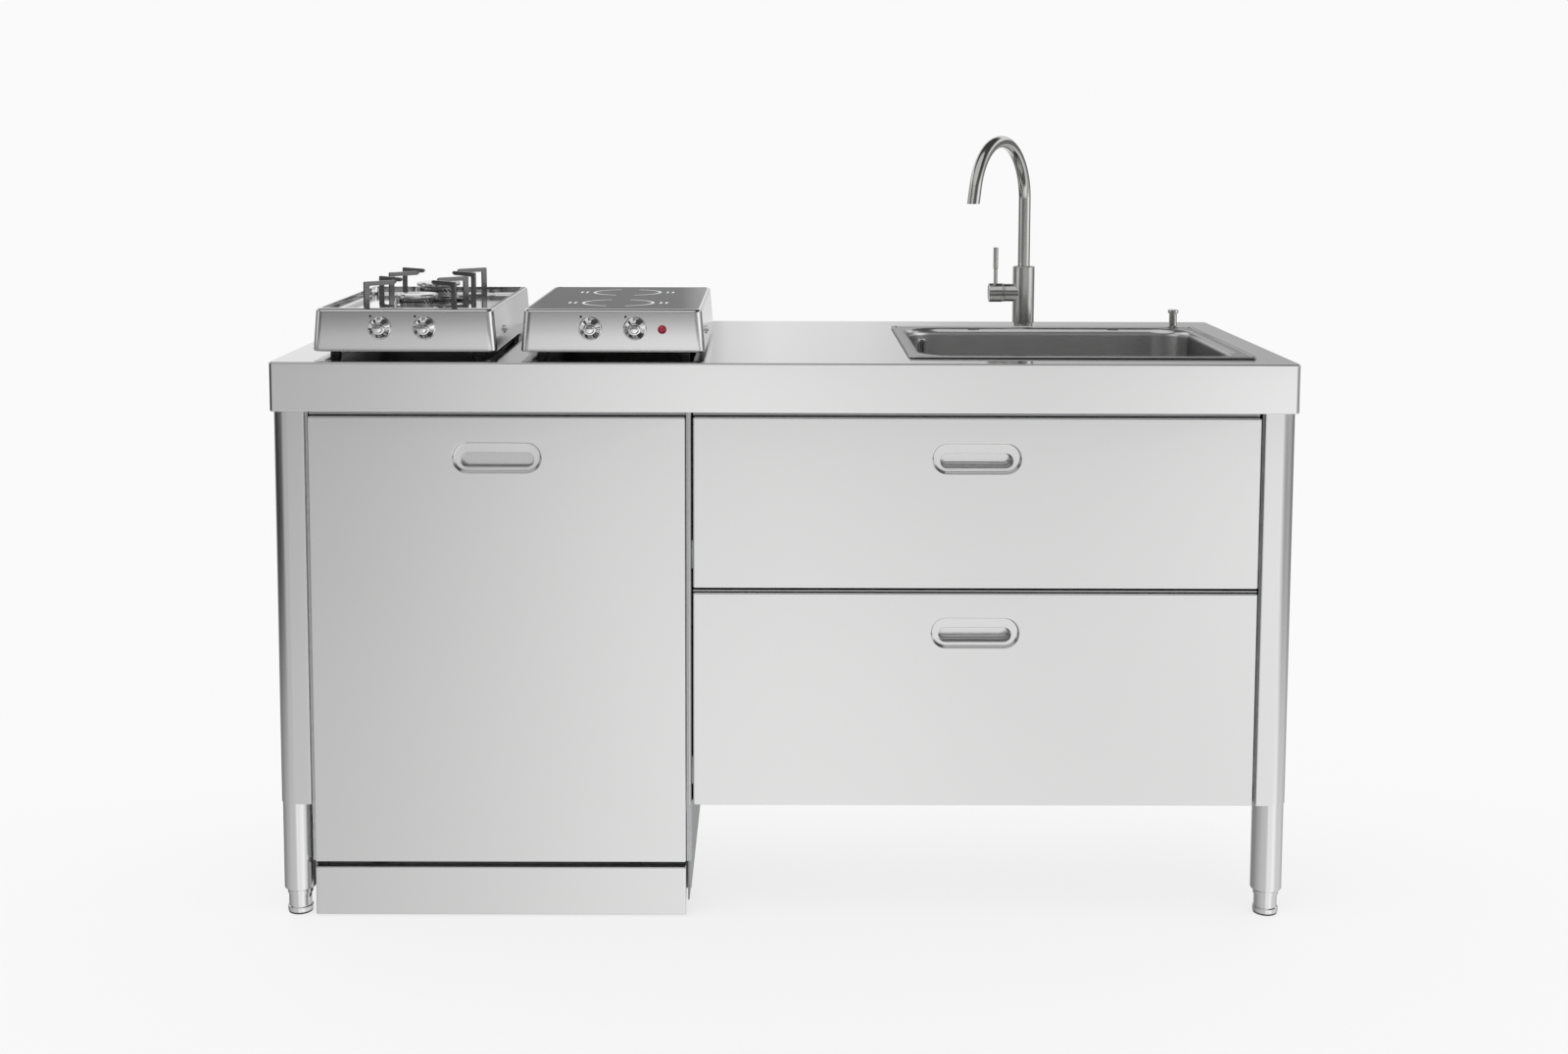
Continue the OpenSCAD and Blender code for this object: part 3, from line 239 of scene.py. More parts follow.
# Worktop. One stainless sheet, folded down into a deep edge on all four sides and in again
# below, with welded and rounded upright corners. Its satin grain runs along the unit.
def satin(
    name, colour, roughness, grain=(1, 60, 60), wear=0.012, relief=0.004, clouds=0.012, edge=1.0
):
    """Brushed metal. grain gives how many times finer the brushing is along X, Y and Z, and
    edge how much of its shine is left at a glancing angle."""
    made = Finish(name, colour, 1.0, roughness, Specular_Tint=(edge, edge, edge))
    place = made.place()
    drawn = made.node("Mapping", None, {0: place, 3: tuple(15 * g for g in grain)})
    fine = made.noise(1.0, 4.0, drawn, Roughness=0.7)
    broad = made.noise(3.5, 3.0, place)
    tone = 1 + (fine - 0.5) * wear * 2 + (broad - 0.5) * clouds * 2
    made.set(
        Base_Color=made.node("VectorMath", {"operation": "SCALE"}, {0: colour, 3: tone}),
        Roughness=roughness + (fine - 0.5) * 0.03 + (broad - 0.5) * 0.04,
    )
    made.bump(relief, 0.001, fine)
    return made


def middle(node):
    """The middle of a node's box."""
    return [(a + b) / 2 for a, b in zip(*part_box(node))]


def arc(x, y, radius, start, steps):
    """Points of a quarter circle about (x, y), from an angle in degrees."""
    angles = (math.radians(start + 90 * step / steps) for step in range(steps + 1))
    return [(x + radius * math.cos(a), y + radius * math.sin(a)) for a in angles]


def rounded(width, depth, radius, x=0.0, y=0.0, steps=8):
    """Points round a rectangle with rounded corners, anticlockwise from its right side."""
    radius = max(radius, 1e-5)
    points = []
    for start, sx, sy in ((0, 1, 1), (90, -1, 1), (180, -1, -1), (270, 1, -1)):
        cx, cy = x + sx * (width / 2 - radius), y + sy * (depth / 2 - radius)
        points += arc(cx, cy, radius, start, steps)
    return points


def bend(x0, z0, x1, z1, corner, steps=4):
    """Points of a quarter bend from one point of a section to another, round their corner."""
    points = []
    for step in range(steps + 1):
        t = step / steps
        a, b, c = (1 - t) ** 2, 2 * t * (1 - t), t * t
        points.append((a * x0 + b * corner[0] + c * x1, a * z0 + b * corner[1] + c * z1))
    return points


def strip(work, loops):
    """Joins loops of points with faces, and returns the loops as corners of the mesh."""
    rows = [[work.verts.new(p) for p in loop] for loop in loops]
    for low, high in zip(rows, rows[1:]):
        for i in range(len(low)):
            j = (i + 1) % len(low)
            work.faces.new((low[i], low[j], high[j], high[i]))
    return rows


def rings(work, section, width, depth, radius, put=None, x=0.0, y=0.0, steps=8):
    """Joins rounded rectangles, one for each (inset, out) of a section. radius is a number or
    is worked out from the inset, and put makes a point of (x, y, out)."""
    put = put or (lambda px, py, out: (px, py, out))
    loops = []
    for inset, out in section:
        corner = radius(inset) if callable(radius) else radius
        around = rounded(width - 2 * inset, depth - 2 * inset, corner, x, y, steps)
        loops.append([put(px, py, out) for px, py in around])
    return strip(work, loops)


def cover(work, *outlines):
    """Fills the flat area inside the first outline and outside the others."""
    edges = []
    for outline in outlines:
        for i, vert in enumerate(outline):
            follower = outline[(i + 1) % len(outline)]
            edges.append(work.edges.get((vert, follower)) or work.edges.new((vert, follower)))
    bmesh.ops.triangle_fill(work, edges=edges, use_beauty=True, use_dissolve=False)


def ends(work, rows):
    """Closes both ends of joined loops."""
    cover(work, rows[0])
    cover(work, rows[-1])


def piece(name, work, finish, body, slot, stands_for=(), sharp=32, merge=1e-6, turn_out=True):
    """Makes an object of a bmesh, shades it, and fixes it to its body of the frame."""
    if merge:
        bmesh.ops.remove_doubles(work, verts=work.verts, dist=merge)
    if turn_out:
        bmesh.ops.recalc_face_normals(work, faces=work.faces)
    for edge in work.edges:
        edge.smooth = len(edge.link_faces) == 2 and edge.calc_face_angle(0) < math.radians(sharp)
    for face in work.faces:
        face.smooth = True
    mesh = bpy.data.meshes.new(name)
    work.to_mesh(mesh)
    work.free()
    made = bpy.data.objects.new(name, mesh)
    scene.collection.objects.link(made)
    mesh.materials.append(finish.made)
    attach(made, body)
    if stands_for:
        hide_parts(*stands_for)
    flats = made.modifiers.new("flats", "WEIGHTED_NORMAL")
    flats.keep_sharp = True
    return made


def wall(thing, thickness, offset=-1):
    """Gives a sheet its thickness."""
    solid = thing.modifiers.new("wall", "SOLIDIFY")
    solid.thickness, solid.offset = thickness, offset
    solid.use_even_offset = True
    thing.modifiers.move(len(thing.modifiers) - 1, 0)


low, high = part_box("worktop")
top_z, fascia_z = high.z, low.z
fold, sheet, lip = 0.0025, 0.0015, 0.016
section = (
    bend(fold, top_z, 0, top_z - fold, (0, top_z))
    + bend(0, fascia_z + fold, fold, fascia_z, (0, fascia_z))
    + [(sheet + lip, fascia_z)]
)
work = bmesh.new()
rows = rings(work, section, high.x - low.x, high.y - low.y, lambda inset: 0.007 - inset * 0.5)
low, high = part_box("sink_bowl")
sink_x, sink_y, _ = middle("sink_bowl")
sink_w, sink_d = high.x - low.x, high.y - low.y
opening = rounded(sink_w - 0.03, sink_d - 0.03, 0.065, sink_x, sink_y)
cover(work, rows[0], [work.verts.new((x, y, top_z)) for x, y in opening])
top_steel = satin("worktop_steel", (0.7, 0.7, 0.698), 0.085, edge=0.93)
wall(piece("worktop_sheet", work, top_steel, "cabinet", "steel_sheet", ["worktop"]), sheet)


# Drawer fronts and dishwasher door. Each is a stainless sheet folded back along all four sides.
# The pull is pressed in as a shallow stadium, and a deeper cup for the fingers is let into it.
def folded_front(name, node, cup, body, rise):
    low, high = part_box(node)
    x, z = (low.x + high.x) / 2, (low.z + high.z + rise) / 2
    wide, tall = high.x - low.x, high.z - low.z + rise
    work = bmesh.new()

    def inward(width, height, radius, z, section):
        """Rings on the front; their points go back from its face."""
        corner = lambda inset: max(radius - inset, 0.0008)
        put = lambda px, pz, depth: (px, low.y + depth, pz)
        return rings(work, section, width, height, corner, put, x, z)

    thick, pull_z = 0.018, high.z - 0.062
    edge = inward(wide, tall, 0.003, z, [(0, thick)] + bend(0, 0.0024, 0.0024, 0, (0, 0)))
    press = bend(0, 0, 0.0016, 0.0016, (0.0012, 0))
    press += bend(0.0022, 0.0042, 0.0044, 0.006, (0.0026, 0.006))
    recess = inward(0.141, 0.05, 0.025, pull_z, press)
    hole = bend(0, 0.006, 0.0014, 0.0074, (0.0012, 0.006))
    hole += bend(0.002, cup - 0.005, 0.007, cup, (0.0022, cup))
    hollow = inward(0.116, 0.025, 0.0125, pull_z - 0.004, hole)
    cover(work, edge[-1], recess[0])
    cover(work, recess[-1], hollow[0])
    work.faces.new(hollow[-1])
    outside = [(0, thick)] + bend(0, cup - 0.004, 0.005, cup + 0.0012, (0, cup + 0.0012))
    shell = inward(0.119, 0.028, 0.014, pull_z - 0.004, outside)
    cover(work, edge[0], shell[0])
    work.faces.new(shell[-1])
    piece(name, work, front_steel, body, "steel_front", [node], sharp=40)


front_steel = satin("front_steel", (0.7, 0.7, 0.698), 0.18, grain=(60, 60, 1))
folded_front("upper_front", "upper_drawer_front", 0.032, "upper_drawer", 0.0025)
folded_front("lower_front", "lower_drawer_front", 0.032, "lower_drawer", 0.0015)
folded_front("door_front", "door_panel", 0.026, "door", 0.0025)


# Side panels. One sheet each, bent round the front and rear legs with a wide bend outside,
# and turned in flat beside the fronts with a sharp fold.
for node in ("side_panel_left", "side_panel_right"):
    low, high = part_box(node)
    bow = (high.x - low.x) / 2
    inner_x, deep = high.x - sheet, high.y - sheet
    plan = arc(low.x + bow, low.y + bow, bow, 180, 16) + arc(inner_x, -deep, sheet, 270, 16)
    plan += arc(inner_x, deep, sheet, 0, 16) + arc(low.x + bow, high.y - bow, bow, 90, 16)
    if node == "side_panel_right":
        plan = [(low.x + high.x - px, py) for px, py in plan]
    work = bmesh.new()
    strip(work, [[(px, py, pz) for px, py in plan] for pz in (low.z, high.z)])
    wall(piece(f"{node}_sheet", work, front_steel, "cabinet", "steel_front", [node]), 0.001)


# Legs. Four round tubes inside the side panels, with a chamfered lower end and a plug that
# takes the stud of each levelling foot.
def mm(*pairs):
    """Pairs of millimetres as pairs of metres."""
    return [(a / 1000, b / 1000) for a, b in pairs]


def circle(radius, steps):
    """Points of a circle about the origin."""
    angles = (math.tau * step / steps for step in range(steps))
    return [(radius * math.cos(a), radius * math.sin(a)) for a in angles]


def turned(work, profile, where=(0, 0, 0), way=(0, 0, 1), steps=48, close=True):
    """Turns (radius, distance) pairs about a line through a point."""
    lean = Vector((0, 0, 1)).rotation_difference(Vector(way)).to_matrix().to_4x4()
    place = Matrix.Translation(where) @ lean
    loops = []
    for radius, along in profile:
        loops.append([place @ Vector((x, y, along)) for x, y in circle(max(radius, 1e-6), steps)])
    rows = strip(work, loops)
    if close:
        for row in (rows[0], rows[-1]):
            if (row[0].co - row[steps // 2].co).length > 1e-4:
                work.faces.new(row)
    return rows


def corners(node, dx, dy):
    """The four points at some distance inside the corners of a node's box, seen from above."""
    low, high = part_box(node)
    return [(x, y) for x in (low.x + dx, high.x - dx) for y in (low.y + dy, high.y - dy)]


tube_steel = satin("tube_steel", (0.72, 0.72, 0.72), 0.17, grain=(60, 60, 1))
low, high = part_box("leg_tubes")
tube = 0.0247
profile = mm((7, 0), (22.5, 0), (24.2, 0.6), (24.7, 1.8), (24.7, 160)) + [(tube, high.z - low.z)]
work = bmesh.new()
for spot in corners("leg_tubes", tube, tube):
    turned(work, profile, (*spot, low.z))
piece("legs", work, tube_steel, "cabinet", "steel_tube", ["leg_tubes"])


# Levelling feet. A turned steel sleeve with a grip groove and a shallow flange stands on a
# black plastic glide, and its stud screws up into the leg.
def mottled(name, colour, low, spread, scale, detail=2.0, metallic=0.0):
    """A plain finish, with soft patches of roughness from low to low + spread."""
    made = Finish(name, colour, metallic, low)
    made.set(Roughness=low + made.noise(scale, detail) * spread)
    return made


def lathe(
    name, profile, where, finish, body, slot, stands_for=(), way=(0, 0, 1), steps=48, close=True, **how
):
    """A piece that is turned in one go."""
    work = bmesh.new()
    turned(work, profile, where, way, steps, close)
    piece(name, work, finish, body, slot, stands_for, **how)


glide_plastic = mottled("glide_plastic", (0.02, 0.02, 0.021), 0.42, 0.2, 400.0)
sleeve = mm(
    (18.5, 3), (19.6, 3.4), (20, 4.2), (20, 10.5), (19.6, 11.2), (18.2, 12), (18.2, 31),
    (19.6, 31.8), (20, 32.6), (20, 39.5), (19.4, 40.5), (6, 40.7),
)
glide = mm((17.6, 0), (18.8, 0.6), (19, 1.4), (19, 3.1))
for corner in ("front_left", "front_right", "rear_left", "rear_right"):
    foot = f"foot_{corner}"
    x, y, _ = middle(foot)
    stud = [(0.006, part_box(foot)[1].z)]
    spot, body = (x, y, 0), foot + "_body"
    lathe(f"foot_sleeve_{corner}", sleeve + stud, spot, tube_steel, body, "steel_tube", [foot])
    lathe(f"foot_glide_{corner}", glide, spot, glide_plastic, body, "dark_rubber")


# Plinth. A folded steel panel under the dishwasher door, flush with it and just off the floor.
low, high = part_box("plinth_panel")
x, _, z = middle("plinth_panel")
work = bmesh.new()
section = [(0.012, 0.015), (0, 0.015)] + bend(0, 0.002, 0.002, 0, (0, 0))
put = lambda px, pz, depth: (px, low.y + depth, pz)
rows = rings(work, section, high.x - low.x, high.z - low.z, 0.002, put, x, z, 3)
ends(work, rows)
piece("plinth_sheet", work, front_steel, "cabinet", "steel_front", ["plinth_panel"])


# Sink. One drawn bowl with a flange that lies on the worktop. The flange has a raised border,
# its inner rim rolls into upright walls, and the floor falls to the waste.
def bowl_ring(inset, radius, z, cuts=8):
    """Points round the bowl, with extra points along its straight sides."""
    around = rounded(sink_w - 2 * inset, sink_d - 2 * inset, radius, sink_x, sink_y, 10)
    points = []
    for place, (x, y) in enumerate(around):
        points.append((x, y, z))
        if place % 11 == 10:
            nx, ny = around[(place + 1) % len(around)]
            points += [(x + (nx - x) * c / cuts, y + (ny - y) * c / cuts, z) for c in range(1, cuts)]
    return points


waste_x, waste_y, _ = middle("drain_body")
flange = [(0.003, 0.0016), (0.0006, 0.0016)] + bend(0, 0.0021, 0.0012, 0.003, (0, 0.003))
loops = [bowl_ring(i, 0.008 - i * 0.6, top_z + z) for i, z in flange]
border = bend(0.0038, 0.003, 0.0052, 0.0015, (0.0044, 0.0015))
loops += [bowl_ring(i, 0.006, top_z + z) for i, z in border]
walls = bend(0.0125, 0.0015, 0.0222, -0.011, (0.0219, 0.0012), 8)
walls += bend(0.0226, -0.15, 0.05, -0.1785, (0.0235, -0.1785), 8)
loops += [bowl_ring(i, 0.06 + (0.022 - i), top_z + z) for i, z in walls]
rim = loops[-1]
waste_r = 0.0455
for share in (0.3, 0.6, 0.82, 1):
    ring_points = []
    for x, y, z in rim:
        away = Vector((x - waste_x, y - waste_y))
        spot = away.normalized() * (away.length * (1 - share) + waste_r * share)
        ring_points.append((waste_x + spot.x, waste_y + spot.y, z - 0.0008 * share))
    loops.append(ring_points)
work = bmesh.new()
strip(work, loops)
bowl_steel = satin(
    "bowl_steel", (0.72, 0.72, 0.717), 0.25, (40, 40, 1), wear=0.1, relief=0.03, clouds=0.12, edge=0.53
)
bowl = piece("bowl_sheet", work, bowl_steel, "cabinet", "bowl_steel", ["sink_bowl"], turn_out=False)
wall(bowl, 0.001, 1)
# A thin black strip under the flange's outer edge: a seal, and its black also paints the shade line
# round the flange.
seal_black = mottled("seal_black", (0.015, 0.015, 0.015), 0.42, 0.2, 120.0)
seal = mm((4, 0.1), (0.8, 0.1), (0.4, 0.5), (0.4, 1.5), (4, 1.5))
work = bmesh.new()
strip(work, [bowl_ring(i, 0.0076, top_z + z) for i, z in seal])
piece("sink_seal", work, seal_black, "cabinet", "dark_rubber")


# Waste fitting, its plug and the overflow. Chromed parts: a ring pressed into the bowl's floor
# with a sump below, a domed plug that the knob lifts, and an upright oval cover with a strut.
def level_way(degrees):
    """A level direction, at an angle from X towards Y."""
    return Vector((math.cos(math.radians(degrees)), math.sin(math.radians(degrees)), 0))


def cube(work, size, place):
    """A box of (x, y, z) sizes, centred on a place."""
    bmesh.ops.create_cube(work, size=1, matrix=place @ Matrix.Diagonal((*size, 1)))


chrome = mottled("chrome", (0.8, 0.8, 0.8), 0.05, 0.06, 45.0, 3.0, metallic=1.0)
spot = (waste_x, waste_y, top_z - 0.18)
lathe(
    "waste_ring",
    mm(
        (44.5, 0.2), (45, 0.8), (44.6, 1.4), (41.5, 1.6), (33, -1), (29.5, -3), (29.2, -36),
        (16.5, -37.5), (16, -69), (18, -70), (18, -41), (31.5, -40), (31.5, -10), (45, -9), (45, -1.5),
    ),
    spot, chrome, "cabinet", "chrome", ["drain_body"], close=False, turn_out=False,
)
lathe(
    "waste_plug_dome",
    mm((4, -28), (4, 1.5), (31, 1.8), (33, 2.6), (32.8, 3.6), (28, 4.6), (12, 4.9), (0, 4.9)),
    spot, chrome, "plug", "chrome", ["waste_plug"],
)
facing = level_way(300)
corner_bend, wall_in = 0.06, 0.022
inward_by = corner_bend + wall_in
corner_x, corner_y = sink_x - sink_w / 2 + inward_by, sink_y + sink_d / 2 - inward_by
overflow_down = 0.032
seat = Matrix.Translation(
    (corner_x - facing.x * corner_bend, corner_y - facing.y * corner_bend, top_z - overflow_down)
)
seat = seat @ facing.to_track_quat("Z", "Y").to_matrix().to_4x4()
put = lambda x, y, out: seat @ Vector((x, y, out))
section = bend(0, 0.0012, 0.0022, 0.0033, (0, 0.0033)) + [(0.004, 0.0033)]
section += bend(0.0055, 0.0033, 0.0063, 0.0024, (0.0062, 0.0033)) + [(0.0063, 0)]
work = bmesh.new()
rings(work, section, 0.018, 0.034, lambda inset: 0.009 - inset, put)
cube(work, (0.0014, 0.024, 0.001), seat @ Matrix.Translation((0, 0, 0.0019)))
piece("overflow_ring", work, chrome, "cabinet", "chrome", ["overflow_cover"], turn_out=False)
# The overflow's slot is a flat near-black face behind the strut: painted shade for the dark inside the
# slot.
hole_black = mottled("hole_black", (0.012, 0.012, 0.012), 0.5, 0.3, 300.0)
work = bmesh.new()
work.faces.new([work.verts.new(put(x, y, 0.0016)) for x, y in rounded(0.0065, 0.0225, 0.0032)])
piece("overflow_slot", work, hole_black, "cabinet", "dark_rubber", turn_out=False)


# Mixer tap. A turned body on a narrower base ring, with a side hub. The hub's cap turns for
# temperature and carries the lever pin. The swan neck is one bent tube with a cut mouth.
def walk(path):
    """Each point of a path, with the direction there."""
    for place, point in enumerate(path):
        yield point, (path[min(place + 1, len(path) - 1)] - path[max(place - 1, 0)]).normalized()


def swept(work, path, radius, steps=28):
    """A round tube along a path."""
    side = (path[1] - path[0]).orthogonal()
    rows = []
    for point, along in walk(path):
        side = (side - along * side.dot(along)).normalized()
        other = along.cross(side)
        rows.append([point + side * u + other * v for u, v in circle(radius, steps)])
    return strip(work, rows)


tap_steel = satin("tap_steel", (0.6, 0.595, 0.585), 0.17, grain=(60, 60, 2), wear=0.03, relief=0.004)
tap_x, tap_y, _ = middle("tap_base_ring")
body_low, body_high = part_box("tap_body")
hub_z = top_z + 0.063
lathe(
    "tap_foot_ring",
    mm((18.5, 0), (18.5, 1.2), (17.8, 2), (17.8, 7.8), (12, 8.1)),
    (tap_x, tap_y, top_z), tap_steel, "cabinet", "tap_steel", ["tap_base_ring"],
)
work = bmesh.new()
housing = mm((17, 0), (19.2, 0.1), (20, 0.9), (20, 103.1), (19.2, 104), (11.5, 104))
housing += mm((11.3, 102), (0, 102))
turned(work, housing, (tap_x, tap_y, body_low.z))
end = tap_x - body_low.x
hub = [
    (0.0165, 0.006), (0.0165, end - 0.0036), (0.0158, end - 0.003), (0.0172, end - 0.0026),
    (0.0172, end - 0.0006), (0.0166, end), (0.0062, end), (0.0062, end - 0.021), (0, end - 0.021),
]
turned(work, hub, (tap_x, tap_y, hub_z), (-1, 0, 0))
piece("tap_housing", work, tap_steel, "cabinet", "tap_steel", ["tap_body"], merge=0)
lathe(
    "lever_cap_turned",
    mm(
        (5.6, -19), (5.6, 0), (16.8, 0), (17.5, 0.7), (17.5, 23.5), (17.2, 24.4), (16.4, 25),
        (13.5, 25), (13.2, 24.6), (0, 24.6),
    ),
    (body_low.x - 0.001, tap_y, hub_z), tap_steel, "tap_cap", "tap_steel", ["lever_cap"], (-1, 0, 0),
)
pin_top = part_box("lever_pin")[1].z - hub_z
pin_at = (middle("lever_pin")[0], tap_y, hub_z)
work = bmesh.new()
pin = mm((3.5, -3.5), (3.5, 43.5), (3.8, 43.8), (4.4, 44.2), (4.5, 44.8))
pin += [(0.0045, pin_top - 0.0008), (0.0041, pin_top - 0.0002), (0, pin_top)]
turned(work, pin, pin_at, steps=32)
turned(work, mm((1.5, -15), (1.5, 15)), pin_at, (0, 1, 0), 16)
piece("lever_pin_turned", work, tap_steel, "tap_lever", "tap_steel", ["lever_pin"], merge=0)
outward = level_way(238)
rise, bow, swing, tip = 0.123, 0.105, math.radians(165), 0.03
neck = Vector((tap_x, tap_y, body_high.z))
path = [neck + Vector((0, 0, 0.0003)), neck + Vector((0, 0, rise))]
for step in range(1, 45):
    angle = swing * step / 44
    up = Vector((0, 0, rise + bow * math.sin(angle)))
    path.append(neck + outward * (bow - bow * math.cos(angle)) + up)
down = outward * math.sin(swing) + Vector((0, 0, math.cos(swing)))
path += [path[-1] + down * tip * share for share in (0.5, 1)]
work = bmesh.new()
mouth = swept(work, path, 0.011)[-1]
centre = path[-1]
for vert in mouth:
    vert.co += down * ((centre.z - vert.co.z) / down.z)
inside = [[v.co.copy() for v in mouth]]
for shrink, lift in ((0.93, 0.0), (0.86, 0.0003), (0.84, 0.004)):
    inside.append([centre + (v.co - centre) * shrink - down * lift for v in mouth])
work.faces.new(strip(work, inside)[-1])
turned(work, mm((7.5, -50), (7.5, 0.8)), neck, steps=28)
piece("swan_neck", work, tap_steel, "swivel_spout", "tap_steel", ["spout"])


# Waste knob. A turned knob with a flat head on its stem, which slides in a guide ring on the
# flange and lifts the plug by a rod under the bowl.
low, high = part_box("popup_knob")
knob_x, knob_y, _ = middle("popup_knob")
head = mm(
    (3, -30.2), (6.6, -30), (7, -29.4), (7, -6.4), (8.8, -6), (9.5, -5.2), (9.5, -0.8), (9, 0), (0, 0)
)
lathe(
    "waste_knob_turned", [(0.003, low.z - high.z)] + head,
    (knob_x, knob_y, high.z), tap_steel, "waste_knob", "tap_steel", ["popup_knob"],
)
low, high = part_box("popup_guide")
work = bmesh.new()
guide = [
    (0.0047, low.z), (0.0047, top_z + 0.0016), (0.0092, top_z + 0.0016), (0.0095, top_z + 0.0021),
    (0.0095, high.z - 0.0006), (0.0089, high.z), (0.0034, high.z),
]
turned(work, guide, (knob_x, knob_y, 0))
turned(work, mm((13.5, 0), (13.5, 4)), (knob_x, knob_y, low.z + 0.0195), steps=6)
piece("waste_knob_guide", work, tap_steel, "cabinet", "tap_steel", ["popup_guide"], merge=0)


# Table hobs: the cases. Each is a folded steel case that narrows slightly upward, with round
# upright corners and a rolled rim, two ears at the back for its hinge, and a base sheet painted
# near-black as painted shade for the dark under the case.
def hob_case(name, node, rim, body, knobs):
    low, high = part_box(node)
    x, y = (low.x + high.x) / 2, low.y + 0.215
    wide, deep, tall = high.x - low.x, 0.43, high.z - low.z
    work = bmesh.new()
    section = mm((20, 4), (14, 0), (2.4, 0), (0.7, 0.7), (0, 2.4)) + [(0.0026, tall / 2)]
    lean, roll = 0.005, 0.0105
    section += bend(lean, tall - 0.0055, roll, tall - 0.0002, (0.0053, tall - 0.0002), 8)
    section += bend(rim + 0.0042, tall, rim + 0.0055, tall - 0.0012, (rim + 0.0055, tall), 3)
    section += [(rim + 0.0055, tall - 0.006)]
    loops = []
    for inset, up in section:
        # The front and rear stay upright up to the roll, which takes all of their inset.
        upright = 0.003 < up and inset < roll
        ahead = max(0.0, inset - lean) * 1.909 if upright else inset
        radius = max(0.0125 - max(inset - lean, 0) * 0.6, 0.004)
        plan = rounded(wide - 2 * inset, deep - 2 * ahead, radius, x, y, 10)
        loops.append([(px, py, low.z + up) for px, py in plan])
    rows = strip(work, loops)
    plate = bmesh.new()
    plate.faces.new([plate.verts.new(corner.co) for corner in reversed(rows[0])])
    wall(piece(name + "_base", plate, base_coat, body, "steel_sheet", turn_out=False), 0.001)
    hinge_y = high.y - 0.004
    bush = mm((2.7, 0), (4, 0.1), (4, 11.9), (2.7, 12))
    for ear_x in (x - 0.11, x + 0.11):
        turned(work, bush, (ear_x - 0.006, hinge_y, low.z + 0.006), (1, 0, 0), 24, close=False)
        back = low.y + deep
        ear = Matrix.Translation((ear_x, (back + hinge_y - 0.004) / 2, low.z + 0.006))
        cube(work, (0.012, hinge_y - back, 0.007), ear)
    piece(name, work, hob_steel, body, "steel_sheet", [node], merge=0)
    work = bmesh.new()
    for knob in knobs:
        spot = (x + knob - 0.0146, low.y + 0.0002, low.z + 0.0565)
        turned(work, mm((2, -1), (2, 0.6), (0, 0.8)), spot, (0, -1, 0), 16)
    piece(name + "_marks", work, index_black, body, "dark_rubber")
    stud = mm((6.5, 0), (6.5, 2), (5.8, 2.6), (3, 2.6), (3, 4.5), (0, 5))
    spot = (high.x - 0.0018, low.y + 0.105, low.z + 0.026)
    lathe(name + "_stud", stud, spot, chrome, body, "chrome", way=(1, 0, 0), steps=32)


hob_steel = satin("hob_steel", (0.7, 0.7, 0.698), 0.12, grain=(1, 60, 60))
# Near-black base sheet under each hob: painted shade for the dark under the case, which the glossy
# worktop in front mirrors.
base_coat = satin("base_coat", (0.05, 0.05, 0.051), 0.4, grain=(20, 20, 20), wear=0.1, relief=0.02)
index_black = mottled("index_black", (0.02, 0.02, 0.02), 0.35, 0.2, 250.0)
hob_case("gas_case_folded", "gas_hob_case", 0.0072, "gas_hob", (-0.0383, 0.0323))
hob_case("glass_case_folded", "glass_hob_case", 0.0058, "glass_hob", (-0.0353, 0.0353))
for name in ("gas_hob", "glass_hob"):
    pad = mm((7.8, 0), (9, 0.8), (8.5, 5), (7, 8.5))
    work = bmesh.new()
    for spot in corners(name + "_feet", 0.009, 0.009):
        turned(work, pad, (*spot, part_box(name + "_feet")[0].z), steps=32)
    piece(name + "_foot_set", work, glide_plastic, name, "dark_rubber", [name + "_feet"])


# Gas hob: the tray. A polished steel tray let into the rim, with a round hole for each burner
# in a low pressed ring.
tray_steel = satin("tray_steel", (0.86, 0.86, 0.86), 0.08, grain=(2, 30, 30))
low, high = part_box("gas_hob_tray")
caps_low, caps_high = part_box("burner_caps")
gas_x, tray_y, _ = middle("gas_hob_tray")
tray_z = low.z + 0.0012
front_cap, rear_cap = 0.034, 0.0375
front_y, rear_y = caps_low.y + front_cap, caps_high.y - rear_cap
work = bmesh.new()
section = [(0, high.z - tray_z)] + bend(0.0008, 0.004, 0.005, 0, (0.001, 0), 6)
put = lambda x, y, up: (x, y, tray_z + up)
rows = rings(work, section, high.x - low.x, high.y - low.y, 0.009, put, gas_x, tray_y)
holes = []
for y, radius in ((front_y, 0.0195), (rear_y, 0.023)):
    pressed = [
        (radius + 0.016, 0), (radius + 0.015, 0.0009), (radius + 0.013, 0.0012),
        (radius, 0.0012), (radius, -0.001),
    ]
    holes.append(turned(work, pressed, (gas_x, y, tray_z), close=False)[0])
cover(work, rows[-1], *holes)
piece("gas_tray", work, tray_steel, "gas_hob", "steel_sheet", ["gas_hob_tray"], turn_out=False)


# Gas hob: the burners. A cast alloy body with a row of flame ports under a loose turned cap,
# and a spark pin in white ceramic beside it.
class Pattern(Paint):
    """Builds one Geometry Nodes group, with named inputs."""

    kinds = ""

    def __init__(self, name, inputs):
        super().__init__(bpy.data.node_groups.new(name, "GeometryNodeTree"))
        face = self.tree.interface
        face.new_socket("Geometry", in_out="INPUT", socket_type="NodeSocketGeometry")
        for key, kind in inputs.items():
            face.new_socket(key, in_out="INPUT", socket_type="NodeSocket" + kind)
        face.new_socket("Geometry", in_out="OUTPUT", socket_type="NodeSocketGeometry")
        self.given = self.tree.nodes.new("NodeGroupInput").outputs

    def take(self, key):
        return Wire(self, self.given[key])


